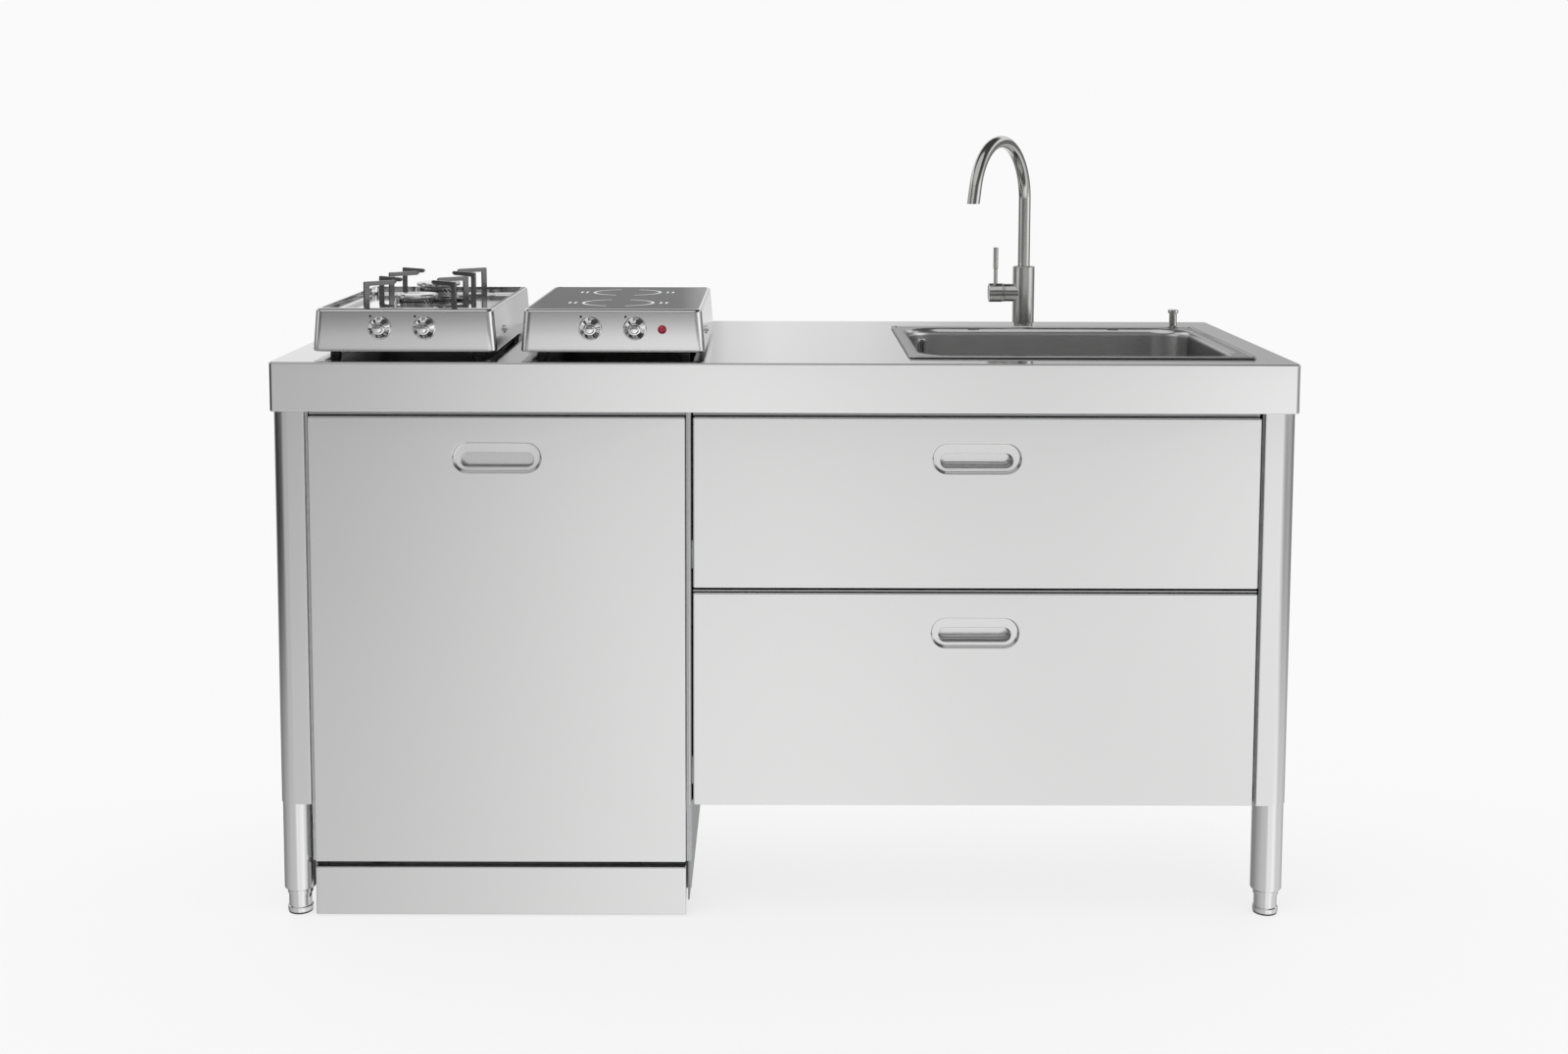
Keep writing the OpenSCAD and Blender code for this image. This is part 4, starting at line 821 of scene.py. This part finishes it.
sowing = Pattern("sowing", {"Part": "Object", "Finish": "Material"})
part_mesh = sowing.node("GeometryNodeObjectInfo", None, {"Object": sowing.take("Part")}, "Geometry")
vector = {"data_type": "FLOAT_VECTOR"}
aim = sowing.node("GeometryNodeInputNamedAttribute", vector, {"Name": "aim"})
stretch = sowing.node("GeometryNodeInputNamedAttribute", vector, {"Name": "stretch"})
turn_to = sowing.node("FunctionNodeAlignRotationToVector", {"axis": "Z"}, {"Vector": aim})
sown = sowing.node(
    "GeometryNodeInstanceOnPoints",
    None,
    {"Points": sowing.take("Geometry"), "Instance": part_mesh, "Rotation": turn_to, "Scale": stretch},
)
sown = sowing.node("GeometryNodeRealizeInstances", None, {"Geometry": sown})
dressed = {"Geometry": sown, "Material": sowing.take("Finish")}
sown = sowing.node("GeometryNodeSetMaterial", None, dressed)
sowing.feed(sowing.tree.nodes.new("NodeGroupOutput").inputs[0], sown)


def sow(name, part_work, places, finish, body, slot, stands_for=()):
    """Repeats a small part at (place, aim, stretch) and makes one piece of the copies."""
    part = bpy.data.objects.new(name + "_part", bpy.data.meshes.new(name + "_part"))
    part_work.to_mesh(part.data)
    part_work.free()
    cloud = bpy.data.meshes.new(name + "_places")
    cloud.from_pydata([p for p, _, _ in places], [], [])
    for key, which in (("aim", 1), ("stretch", 2)):
        values = cloud.attributes.new(key, "FLOAT_VECTOR", "POINT")
        for item, place in zip(values.data, places):
            item.vector = place[which]
    host = bpy.data.objects.new(name + "_host", cloud)
    for thing in (part, host):
        scene.collection.objects.link(thing)
    growing = host.modifiers.new("sowing", "NODES")
    growing.node_group = sowing.tree
    values = {"Part": part, "Finish": finish.made}
    for item in sowing.tree.interface.items_tree:
        if item.in_out == "INPUT" and item.name in values:
            growing[item.identifier] = values[item.name]
    grown = bpy.data.meshes.new_from_object(host.evaluated_get(bpy.context.evaluated_depsgraph_get()))
    work = bmesh.new()
    work.from_mesh(grown)
    for rubbish in (host, part):
        bpy.data.objects.remove(rubbish)
    bpy.data.meshes.remove(grown)
    piece(name, work, finish, body, slot, stands_for, merge=0)


def bar_stock(x, y, z, soft):
    """A small block with eased edges, about the origin."""
    work = bmesh.new()
    cube(work, (x, y, z), Matrix())
    bmesh.ops.bevel(work, geom=work.edges, offset=soft, segments=2, affect="EDGES", profile=0.5)
    return work


burner_alloy = satin("burner_alloy", (0.34, 0.34, 0.34), 0.26, grain=(8, 8, 8), wear=0.08, relief=0.1)
cap_alloy = satin("cap_alloy", (0.72, 0.72, 0.72), 0.16, grain=(12, 12, 12), wear=0.05, relief=0.03)
ceramic = mottled("ceramic", (0.8, 0.79, 0.75), 0.25, 0.15, 200.0)
bodies, caps, pins = bmesh.new(), bmesh.new(), bmesh.new()
ports = []
port_count = 28
as_made = (1, 1, 1)
for y, cap, seat in ((front_y, front_cap, 0.021), (rear_y, rear_cap, 0.024)):
    pot = [
        (cap - 0.0152, -0.03), (cap - 0.0152, 0.0006), (cap - 0.001, 0.0008), (cap, 0.0016),
        (cap - 0.0006, 0.0045), (cap - 0.0055, 0.006), (cap - 0.006, 0.0075),
        (cap - 0.006, seat - 0.0022), (cap - 0.0068, seat - 0.0012), (cap - 0.0068, seat),
    ]
    turned(bodies, pot, (gas_x, y, tray_z), steps=64)
    lid = [
        (cap - 0.004, seat), (cap - 0.0008, seat), (cap, seat + 0.0008), (cap, seat + 0.0042),
        (cap - 0.0012, seat + 0.0058), (cap - 0.004, seat + 0.0064), (cap * 0.5, seat + 0.0069),
        (0, seat + 0.007),
    ]
    turned(caps, lid, (gas_x, y, tray_z), steps=64)
    pin = [(0.0025, 0), (0.0025, seat - 0.008), (0.0012, seat - 0.0055)]
    pin += [(0.0009, seat - 0.002), (0, seat - 0.002)]
    turned(pins, pin, (gas_x - cap - 0.001, y, tray_z), steps=16)
    inner = Vector((gas_x, y, tray_z + (seat + 0.0058) / 2 + 0.0016))
    for port in range(port_count):
        out = level_way(360 * (port + 0.5) / port_count)
        ports.append((inner + out * (cap - 0.006), out, as_made))
piece("burner_pots", bodies, burner_alloy, "gas_hob", "burner_alloy", ["burner_bodies"], merge=0)
piece("burner_lids", caps, cap_alloy, "gas_hob", "burner_alloy", ["burner_caps"], merge=0)
piece("spark_pins", pins, ceramic, "gas_hob", "white_plastic")
# The flame ports are small near-black blocks round each burner body: painted shade for the dark inside
# the ports.
port = bar_stock(0.0075, 0.0022, 0.0016, 0.0004)
sow("flame_ports", port, ports, hole_black, "gas_hob", "dark_rubber")


# Gas hob: the pan supports. Cut from flat iron bar and enamelled dark: a ring round each burner,
# with four arms that run out, turn up square, and turn in again over the flame.
enamel = satin("enamel", (0.17, 0.17, 0.173), 0.2, grain=(30, 30, 30), wear=0.15, relief=0.05)
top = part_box("pan_supports")[1].z - tray_z
hoop = mm((42, 0.6), (42.6, 0), (45.4, 0), (46, 0.6), (46, 3.4), (45.4, 4), (42.6, 4), (42, 3.4))
hoop += hoop[:1]
arm = mm((44, 0), (94.2, 0), (95.5, 0.5), (96, 1.8))
arm += [(r, top - down) for r, down in mm(
    (96, 1.8), (95.5, 0.5), (94.2, 0), (42, 0), (38.5, 1.4), (38.2, 4), (43, 6.8), (85.2, 7.2),
    (86.6, 7.7), (87.2, 9),
)]
arm += mm((87.2, 6.2), (86.6, 4.8), (85.2, 4.2), (44, 4.2))
work = bmesh.new()
for y in (front_y, rear_y):
    base = Vector((gas_x, y, tray_z))
    turned(work, hoop, base, steps=64, close=False)
    for angle in (40, 140, 220, 320):
        out = level_way(angle)
        beside = Vector((-out.y, out.x, 0))
        outlines = []
        for side, inset in ((-0.002, 0.0004), (-0.0016, 0.0), (0.0016, 0.0), (0.002, 0.0004)):
            points = []
            for r, u in arm:
                r += inset if r < 0.07 or u < 0.0045 else 0
                points.append(base + out * r + beside * side + Vector((0, 0, u)))
            outlines.append(points)
        rows = strip(work, outlines)
        ends(work, rows)
piece("pan_plates", work, enamel, "gas_hob", "cast", ["pan_supports"], merge=0)


# Hob knobs. A plated knob turned with a flat flange and a sloping skirt. Its boss stands out of
# the middle, and a raised pointer runs down the skirt.
def join(work, part, place):
    """Adds a small part to a mesh at a place."""
    part.transform(place)
    added = bpy.data.meshes.new("added")
    part.to_mesh(added)
    part.free()
    work.from_mesh(added)
    bpy.data.meshes.remove(added)


skirt = mm(
    (3, -25.3), (3, -2), (17, -2), (18.2, 0), (18.5, 0.6), (18.5, 2.2), (17.8, 3), (16.8, 3.2),
    (16, 3.8), (10.5, 9.8), (9.8, 10.8), (8.8, 11.2), (7.6, 11.2), (7.2, 11.6), (6.9, 15.5),
    (6, 16.7), (4.5, 17), (0, 17),
)
quarter = math.radians(90)
for node in ("gas_knob_left", "gas_knob_right", "glass_knob_left", "glass_knob_right"):
    x, _, z = middle(node)
    spot = (x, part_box(node)[0].y + 0.017, z)
    work = bmesh.new()
    turned(work, skirt, spot, (0, -1, 0), 64)
    facing = Matrix.Rotation(quarter, 4, "X") @ Matrix.Rotation(quarter, 4, "Z")
    place = Matrix.Translation(spot) @ facing @ Matrix.Translation((0.0125, 0, 0.0065))
    join(work, bar_stock(0.012, 0.0052, 0.005, 0.0012), place)
    piece(node + "_turned", work, chrome, node + "_body", "chrome", [node], merge=0)


# Glass hob: the ceramic glass. Dark grey glass in the frame, with two cooking zones printed on
# it as pale lines: two half circles each, and two short arcs at either side.
low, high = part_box("hob_glass")
zone_x, glass_y, _ = middle("hob_glass")
dark = (0.06, 0.061, 0.063)
dark_glass = Finish("dark_glass", dark, 0.0, 0.06)
absolute = lambda value: dark_glass.maths("ABSOLUTE", value)
east, north, _ = dark_glass.split(dark_glass.place())
east = east - zone_x
printed = 0.0
for zone_y in (-0.139, 0.06):
    ahead = north - zone_y
    away = dark_glass.maths("SQRT", east * east + ahead * ahead)
    steep = absolute(ahead) / absolute(east)
    for radius, half, open_to in ((0.0572, 0.0023, 3.6), (0.0705, 0.0018, 0.2), (0.0795, 0.002, 0.16)):
        line = 1 - dark_glass.between(absolute(away - radius), half * 0.7, half * 1.3)
        printed = printed + line * (1 - dark_glass.between(steep, open_to * 0.97, open_to * 1.03))
printed = dark_glass.maths("MINIMUM", printed, 1.0)
border = absolute(absolute(east) - (high.x - low.x) / 2 + 0.006)
edge_line = 1 - dark_glass.between(border, 0.0006, 0.001)
speckle = dark_glass.between(dark_glass.noise(1400.0, 1.0), 0.55, 0.75)
tone = dark_glass.mix(edge_line * 0.8, dark, (0.01, 0.01, 0.01))
tone = dark_glass.mix(speckle * 0.2, tone, (0.16, 0.162, 0.165))
dark_glass.set(
    Base_Color=dark_glass.mix(printed, tone, (0.93, 0.94, 0.95)),
    Roughness=0.05 + printed * 0.3 + dark_glass.noise(12.0) * 0.04,
)
section = [(0, low.z)] + bend(0, high.z - 0.0012, 0.0012, high.z, (0, high.z))
work = bmesh.new()
rows = rings(work, section, high.x - low.x, high.y - low.y, 0.003, x=zone_x, y=glass_y, steps=4)
ends(work, rows)
piece("glass_plate", work, dark_glass, "glass_hob", "dark_glass", ["hob_glass"])


# Glass hob: the pilot lamp. A domed red lens in a dark ring beside the knobs.
red_lens = Finish("red_lens", (0.3, 0.012, 0.03), 0.0, 0.12, Specular_IOR_Level=0.8)
ribs = red_lens.noise(500.0)
red_lens.set(Base_Color=red_lens.mix(ribs, (0.22, 0.006, 0.02), (0.42, 0.02, 0.05)))
red_lens.set(Roughness=0.08 + ribs * 0.12)
x, _, z = middle("pilot_lamp")
spot = (x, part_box("pilot_lamp")[0].y + 0.004, z)
dome = mm((5.8, 0), (5.6, 1.2), (4.6, 2.6), (2.8, 3.6), (0, 4))
collar = mm((5, -20), (5, -1), (7, -1), (7, 1.3), (6.5, 1.9), (5.7, 1.9), (5.6, 0.4))
lathe("lamp_lens", dome, spot, red_lens, "glass_hob", "red_lens", ["pilot_lamp"], (0, -1, 0), 40)
lathe(
    "lamp_ring", collar, spot, red_lens, "glass_hob", "red_lens",
    way=(0, -1, 0), steps=40, close=False, turn_out=False,
)


# Board under the worktop. Moisture-proof chipboard, glued below the sheet to stiffen it and to
# give the sink's clamps and the tap's nut something to hold.
def dress(finish, *names):
    """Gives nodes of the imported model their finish."""
    for name in names:
        for place in nodes[name].material_slots:
            place.material = finish.made


def cells(finish, scale):
    """A grey of its own for each cell of a Voronoi pattern."""
    sockets = {"Vector": finish.place(), "Scale": scale}
    tints = finish.node("TexVoronoi", {"feature": "F1"}, sockets, out=1)
    return finish.node("SeparateColor", None, {0: tints})


board = Finish("board", (0.4, 0.3, 0.19), 0.0, 0.7)
chip = cells(board, 260.0)
fibre = board.noise(60.0, 5.0, board.place())
shade = board.mix(chip, (0.3, 0.21, 0.12), (0.52, 0.41, 0.27))
board.set(Base_Color=board.mix(fibre * 0.4, shade, (0.36, 0.3, 0.22)), Roughness=0.6 + chip * 0.25)
board.bump(0.25, 0.0008, chip)
dress(board, "worktop_core")


# Partition, back panel and cabinet floor. Plain steel sheets, spot-welded and screwed to the
# legs' panels. Pan-head screws hold the back panel along its edges.
panel_steel = satin("panel_steel", (0.66, 0.66, 0.655), 0.33, grain=(60, 60, 1), wear=0.03, relief=0.02)
dress(panel_steel, "partition_panel", "back_panel", "cabinet_floor")
low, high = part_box("back_panel")
screw = bmesh.new()
pan_head = mm((4.6, 0), (4.6, 0.4), (4.2, 1.4), (3.2, 2), (1.6, 2.3), (1.4, 1.2), (0, 1.2))
turned(screw, pan_head, steps=24)
partition_x = -0.14925
spots = []
for z in (low.z + 0.012, high.z - 0.058):
    spots += [(low.x + 0.06 + (high.x - low.x - 0.12) * i / 7, z) for i in range(8)]
for x in (low.x + 0.012, partition_x, high.x - 0.012):
    spots += [(x, low.z + 0.1 + (high.z - low.z - 0.24) * i / 4) for i in range(5)]
places = [(Vector((x, high.y, z)), Vector((0, 1, 0)), as_made) for x, z in spots]
sow("back_screws", screw, places, chrome, "cabinet", "chrome")


# Rails, slides and brackets. Zinc-plated steel channels: the fixed tracks and cross rails on the
# cabinet, the moving members on the drawers, the sink's clamps and the hobs' hinge brackets.
zinc = Finish("zinc", (0.5, 0.51, 0.52), 1.0, 0.38)
spangle = cells(zinc, 90.0)
zinc.set(Base_Color=zinc.mix(spangle, (0.44, 0.45, 0.46), (0.58, 0.585, 0.59)))
zinc.set(Roughness=0.3 + spangle * 0.16)
dress(zinc, "cross_rails", "slide_tracks", "sink_clamps", "hob_hinges")
dress(zinc, "upper_drawer_slides", "lower_drawer_slides")
hinge_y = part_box("hob_hinges")[1].y - 0.005
screw = bmesh.new()
turned(screw, mm((3.6, 0), (3.5, 0.8), (2.4, 1.5), (1.2, 1.6), (1, 0.8), (0, 0.8)), steps=20)
places = []
for node in ("gas_hob_feet", "glass_hob_feet"):
    for side in (-0.11, 0.11):
        for along in (-0.0085, 0.0085):
            spot = Vector((middle(node)[0] + side + along, hinge_y, top_z + 0.0025))
            places.append((spot, Vector((0, 0, 1)), as_made))
sow("hinge_screws", screw, places, zinc, "cabinet", "frame_steel")


# Carcass folds. Narrow zinc-plated edges of the carcass that show in the gaps round the fronts:
# one down each side of the door and the drawers, and others above them. They stop short of the
# slides, which run out past them.
door_low, door_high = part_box("door_panel")
upper_low, upper_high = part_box("upper_drawer_front")
lower_low, lower_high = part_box("lower_drawer_front")
slides_low, slides_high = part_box("upper_drawer_slides")
face_y, fold_y = door_low.y, door_low.y + 0.0175
under_fascia = fascia_z - 0.0002
work = bmesh.new()
for x0, x1, z0, z1, back in (
    (door_low.x - 0.0049, door_low.x - 0.0006, door_low.z, under_fascia, 0.007),
    (door_high.x + 0.0006, slides_low.x - 0.0002, door_low.z, under_fascia, 0.006),
    (slides_high.x + 0.0002, upper_high.x + 0.0049, lower_low.z, under_fascia, 0.007),
    (door_low.x, door_high.x, door_high.z + 0.0031, under_fascia, 0.013),
    (upper_low.x, upper_high.x, upper_high.z + 0.0031, under_fascia, 0.013),
    (upper_low.x, upper_high.x, lower_high.z + 0.0021, upper_low.z - 0.004, 0.006),
):
    centre = Matrix.Translation(((x0 + x1) / 2, (face_y + back + fold_y) / 2, (z0 + z1) / 2))
    cube(work, (x1 - x0, fold_y - face_y - back, z1 - z0), centre)
bmesh.ops.bevel(work, geom=work.edges, offset=0.0004, segments=1, affect="EDGES")
piece("carcass_folds", work, zinc, "cabinet", "frame_steel", merge=0)


# Drawer boxes. Folded from grey-painted steel: a rounded hem runs round the top edge, and the
# upper box has a bay at the back that goes round the waste trap.
box_paint = Finish("box_paint", (0.42, 0.43, 0.44), 0.0, 0.42)
peel = box_paint.noise(700.0, 2.0, box_paint.place())
box_paint.set(Roughness=0.36 + peel * 0.14)
box_paint.bump(0.2, 0.0004, peel)


def eased(corners, radius, steps=4):
    """Points round a square-cornered outline, with its corners rounded."""
    points = []
    for place, corner in enumerate(corners):
        corner = Vector(corner)
        back = (Vector(corners[place - 1]) - corner).normalized() * radius
        on = (Vector(corners[(place + 1) % len(corners)]) - corner).normalized() * radius
        for step in range(steps + 1):
            angle = math.pi / 2 * step / steps
            points.append(corner + back * (1 - math.sin(angle)) + on * (1 - math.cos(angle)))
    return points


def drawer_box(name, node, body, bay):
    """bay is half the width of the bay round the waste, or 0."""
    low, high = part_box(node)

    def outline(inset):
        x0, x1, y0, y1 = low.x + inset, high.x - inset, low.y + inset, high.y - inset
        if not bay:
            return [(x0, y0), (x1, y0), (x1, y1), (x0, y1)]
        x2, x3, y2 = waste_x - bay - inset, waste_x + bay + inset, waste_y - bay - inset
        return [(x0, y0), (x1, y0), (x1, y1), (x3, y1), (x3, y2), (x2, y2), (x2, y1), (x0, y1)]

    tall = high.z - low.z
    hem = mm((0.3, 2.2), (0.6, 0.8), (1.4, 0), (2.4, 0), (3.2, 0.8), (3.2, 4), (1.8, 5))
    section = mm((6, 0.4), (2, 0.4), (0.6, 1), (0.3, 3)) + [(inset, tall - down) for inset, down in hem]
    section += mm((1.8, 5), (3, 2.6), (6, 1.6))
    work = bmesh.new()
    loops = [[(x, y, low.z + up) for x, y in eased(outline(inset), 0.004)] for inset, up in section]
    ends(work, strip(work, loops))
    piece(name, work, box_paint, body, "frame_steel", [node], sharp=50)


drawer_box("upper_box_folded", "upper_drawer_box", "upper_drawer", 0.1)
drawer_box("lower_box_folded", "lower_drawer_box", "lower_drawer", 0)


# Dishwasher door liner. A pressed stainless panel with a raised border, hinge bosses at its foot,
# and a grey plastic dispenser with a sliding lid and a round rinse cap.
tub_steel = satin("tub_steel", (0.66, 0.66, 0.66), 0.25, grain=(10, 10, 10), wear=0.04, relief=0.02)
grey_plastic = Finish("grey_plastic", (0.3, 0.31, 0.32), 0.0, 0.4)
moulded = grey_plastic.noise(900.0, 2.0, grey_plastic.place())
flow = grey_plastic.noise(9.0, 2.0, grey_plastic.place())
grey_plastic.set(
    Base_Color=grey_plastic.mix(flow, (0.28, 0.29, 0.3), (0.33, 0.34, 0.35)),
    Roughness=0.34 + moulded * 0.14,
)
grey_plastic.bump(0.15, 0.0003, moulded)
low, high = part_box("door_liner")
foot_z = low.z + 0.009
deep, back = 0.03, low.y
mid_x, mid_z = (low.x + high.x) / 2, (foot_z + high.z) / 2
put = lambda x, z, out: (x, back + out, z)
dished = mm(
    (0, 4), (1.2, 1.2), (4, 0), (14, 0), (15.5, 1.6), (18.5, 1.6), (20, 0), (32, 0), (36, 1.5),
    (39.5, 9), (43, 11.6), (50, 12),
)
section = [(0, 0)] + [(inset, deep - down) for inset, down in dished]
loops = []
for inset, out in section:
    foot = 0.014 if inset > 0.021 else 0.0
    wide, tall = high.x - low.x - 2 * inset, high.z - foot_z - 2 * inset - foot
    plan = rounded(wide, tall, 0.012 + inset * 0.6, mid_x, mid_z + foot / 2)
    loops.append([put(x, z, out) for x, z in plan])
work = bmesh.new()
ends(work, strip(work, loops))
for x in (low.x, high.x - 0.014):
    boss = mm((4.3, 0), (9, 0), (9, 14), (4.3, 14))
    turned(work, boss, (x, back + 0.011, foot_z), (1, 0, 0), 40, close=False)
piece("liner_pressed", work, tub_steel, "door", "tub_steel", ["door_liner"], merge=0)
box_z = foot_z + 0.33
well_x = mid_x - 0.03
section = [(0, deep - 0.013), (0, deep - 0.0045)]
section += bend(0, deep - 0.004, 0.0035, deep - 0.002, (0, deep - 0.002))
work = bmesh.new()
rows = rings(work, section, 0.17, 0.1, 0.012, put, mid_x, box_z, 6)
section = [(0, deep - 0.002), (0.0008, deep - 0.0028), (0.0014, deep - 0.0075), (0.003, deep - 0.009)]
well = rings(work, section, 0.082, 0.07, 0.008, put, well_x, box_z, 6)
cover(work, rows[-1], well[0])
work.faces.new(well[-1])
lid = Matrix.Translation((well_x + 0.013, back + deep - 0.0052, box_z))
join(work, bar_stock(0.05, 0.0035, 0.062, 0.0012), lid)
cap = mm((17, 0), (17, 1.4), (15.8, 2.2), (13.5, 2.2), (13, 1.2), (3, 1.2), (2.6, 2.6), (0, 2.6))
turned(work, cap, (mid_x + 0.052, back + deep - 0.0024, box_z), (0, 1, 0))
piece("dispenser", work, grey_plastic, "door", "grey_plastic", merge=0)


# Dishwasher tub, its seal and its base. The tub is folded stainless sheet with a rubber seal
# round its mouth, and it stands in a moulded base that also holds the door's hinges.
rubber = Finish("rubber", (0.025, 0.025, 0.027), 0.0, 0.62)
waves = {"Vector": rubber.place(), "Scale": 180.0}
ribbed = rubber.node("TexWave", {"bands_direction": "DIAGONAL"}, waves)
rubber.set(Roughness=0.55 + ribbed * 0.15)
rubber.bump(0.2, 0.0005, ribbed)
dress(tub_steel, "dishwasher_tub")
dress(rubber, "tub_seal")
dress(grey_plastic, "dishwasher_base", "sump_filter")


# Dishwasher racks. Coated round wires welded in a grid, with a thicker hoop round the top. The
# lower rack has two rows of plate tines and runs on four wheels.
def speckled(name, dark, light, low, spread, scale, detail):
    """A plain finish that changes softly between two colours, and in roughness with them."""
    made = Finish(name, dark, 0.0, low)
    patches = made.noise(scale, detail, made.place())
    made.set(Base_Color=made.mix(patches, dark, light), Roughness=low + patches * spread)
    return made


def bar(work, path, across, width, height):
    """A flat bar with eased edges along a path; across points through its width."""
    profile = rounded(width, height, min(width, height) * 0.28, steps=2)
    rows = []
    for point, along in walk([Vector(p) for p in path]):
        over = across.cross(along).normalized()
        rows.append([point + across * u + over * v for u, v in profile])
    rows = strip(work, rows)
    work.faces.new(rows[0])
    work.faces.new(rows[-1])


def wire_rack(name, node, tall, tines):
    """A rack that hangs tall below its top edge."""
    low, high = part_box(node)
    edge = 0.004 if tines else 0.002
    x0, x1, y0, y1 = low.x + edge, high.x - edge, low.y + 0.002, high.y - 0.002
    z0, z1 = high.z - tall + 0.002, high.z - 0.0025
    runs = []
    for i in range(13):
        x, y = x0 + (x1 - x0) * i / 12, y0 + (y1 - y0) * i / 12
        runs.append(((x, y0, z0), (x, y1, z0), 1.0))
        if i % 2 == 0:
            runs += [((x, side, z0), (x, side, z1), 1.0) for side in (y0, y1)]
            runs.append(((x0, y, z0 + 0.001), (x1, y, z0 + 0.001), 1.1))
            runs += [((side, y, z0), (side, y, z1), 1.0) for side in (x0, x1)]
    for z, thick in ((z1, 1.25), ((z0 + z1) / 2, 0.9)):
        runs += [((x0, y, z), (x1, y, z), thick) for y in (y0, y1)]
        runs += [((x, y0, z), (x, y1, z), thick) for x in (x0, x1)]
    for x in (x0 + 0.13, x0 + 0.36) if tines else ():
        for i in range(13):
            y = y0 + 0.03 + (y1 - y0 - 0.06) * i / 12
            runs.append(((x, y, z0), (x + 0.008, y, z0 + 0.075), 0.9))
    wire = bmesh.new()
    turned(wire, [(0, -0.5), (0.0016, -0.5), (0.0016, 0.5), (0, 0.5)], steps=10)
    places = []
    for start, end, thick in runs:
        start, end = Vector(start), Vector(end)
        along = end - start
        places.append(((start + end) / 2, along.normalized(), (thick, thick, along.length)))
    sow(name, wire, places, wire_coat, "cabinet", "wire_coat", [node])


wire_coat = speckled("wire_coat", (0.46, 0.48, 0.5), (0.55, 0.57, 0.59), 0.24, 0.14, 160.0, 2.0)
upper_tall, lower_tall = 0.11, 0.13
wire_rack("upper_rack_wires", "upper_rack", upper_tall, False)
wire_rack("lower_rack_wires", "lower_rack", lower_tall, True)
low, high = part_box("upper_rack")
rack_floor = high.z - upper_tall
arm_x, arm_y, _ = middle("upper_spray_arm")
pipe_z = rack_floor - 0.005
work = bmesh.new()
pipe = [(arm_x, arm_y - 0.018, pipe_z), (arm_x, high.y - 0.002, pipe_z)]
bar(work, pipe, Vector((1, 0, 0)), 0.022, 0.0085)
nozzle = mm((5.5, 3), (12.5, 0), (13, 1), (12.5, 3.8), (6, 4.2)) + [(0.006, rack_floor - 0.008 - low.z)]
turned(work, nozzle, (arm_x, arm_y, low.z))
piece("feed_pipe", work, grey_plastic, "cabinet", "grey_plastic", merge=0)
low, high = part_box("lower_rack")
wheel = mm((3, -4.2), (10.5, -4), (11.8, -3), (12, 0), (11.8, 3), (10.5, 4), (3, 4.2))
work = bmesh.new()
for x, y in corners("lower_rack", 0.004, 0.09):
    axle = (x, y, low.z + 0.012)
    turned(work, wheel, axle, (1, 0, 0), 32)
    bar(work, [axle, (x, y, high.z - lower_tall)], Vector((0, 1, 0)), 0.008, 0.0035)
piece("rack_wheels", work, grey_plastic, "cabinet", "grey_plastic", merge=0)


# Spray arms. Moulded hollow arms that taper to round tips, with a hub that turns on its post and
# a row of nozzles along the top.
for node, body in (("lower_spray_arm", "lower_arm"), ("upper_spray_arm", "upper_arm")):
    low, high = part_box(node)
    x, y, _ = middle(node)
    reach = (high.x - low.x) / 2
    work = bmesh.new()
    loops = []
    for share in (-1, -0.985, -0.95, -0.9, -0.6, -0.3, -0.1, 0, 0.1, 0.3, 0.6, 0.9, 0.95, 0.985, 1):
        wide = 0.028 - 0.008 * abs(share)
        wide *= math.sqrt(max(1 - max(abs(share) - 0.93, 0) ** 2 / 0.07 ** 2, 0.004))
        tall = 0.009 - 0.0025 * abs(share)
        plan = rounded(wide, tall, min(tall, wide) * 0.42, steps=4)
        loops.append([(x + reach * share, y + u, low.z + 0.0065 + v) for u, v in plan])
    rows = strip(work, loops)
    work.faces.new(rows[0])
    work.faces.new(rows[-1])
    hub = mm((6.4, 0.2), (24.5, 0.6), (25, 1.5), (24.8, 6.8), (20, 10.2), (12.5, 13.2))
    hub += mm((11.8, 13.8), (6.4, 13.8))
    turned(work, hub, (x, y, low.z), close=False)
    piece(node + "_moulded", work, grey_plastic, body, "grey_plastic", [node], merge=0)
    nozzle = bmesh.new()
    turned(nozzle, mm((3.2, -0.4), (3, 0.8), (1.6, 1), (1.2, 0.2), (0, 0.1)), steps=16)
    places = []
    for step in (-0.88, -0.72, -0.55, -0.36, 0.3, 0.48, 0.66, 0.84):
        lean = Vector((0, 0.25 * math.copysign(1, step), 1)).normalized()
        spot = Vector((x + reach * step, y, low.z + 0.011 - 0.0012 * abs(step)))
        places.append((spot, lean, as_made))
    sow(node + "_nozzles", nozzle, places, grey_plastic, body, "grey_plastic")


# Under the sink: the trap, its hose and the tap's shank. White plastic with a smooth moulded
# finish, and a brass shank with its nut.
white_plastic = speckled("white_plastic", (0.74, 0.74, 0.73), (0.82, 0.82, 0.81), 0.24, 0.12, 30.0, 3.0)
dress(white_plastic, "drain_trap")
brass = satin("brass", (0.6, 0.45, 0.2), 0.3, grain=(4, 4, 90), wear=0.05, relief=0.1)
dress(brass, "tap_shank")
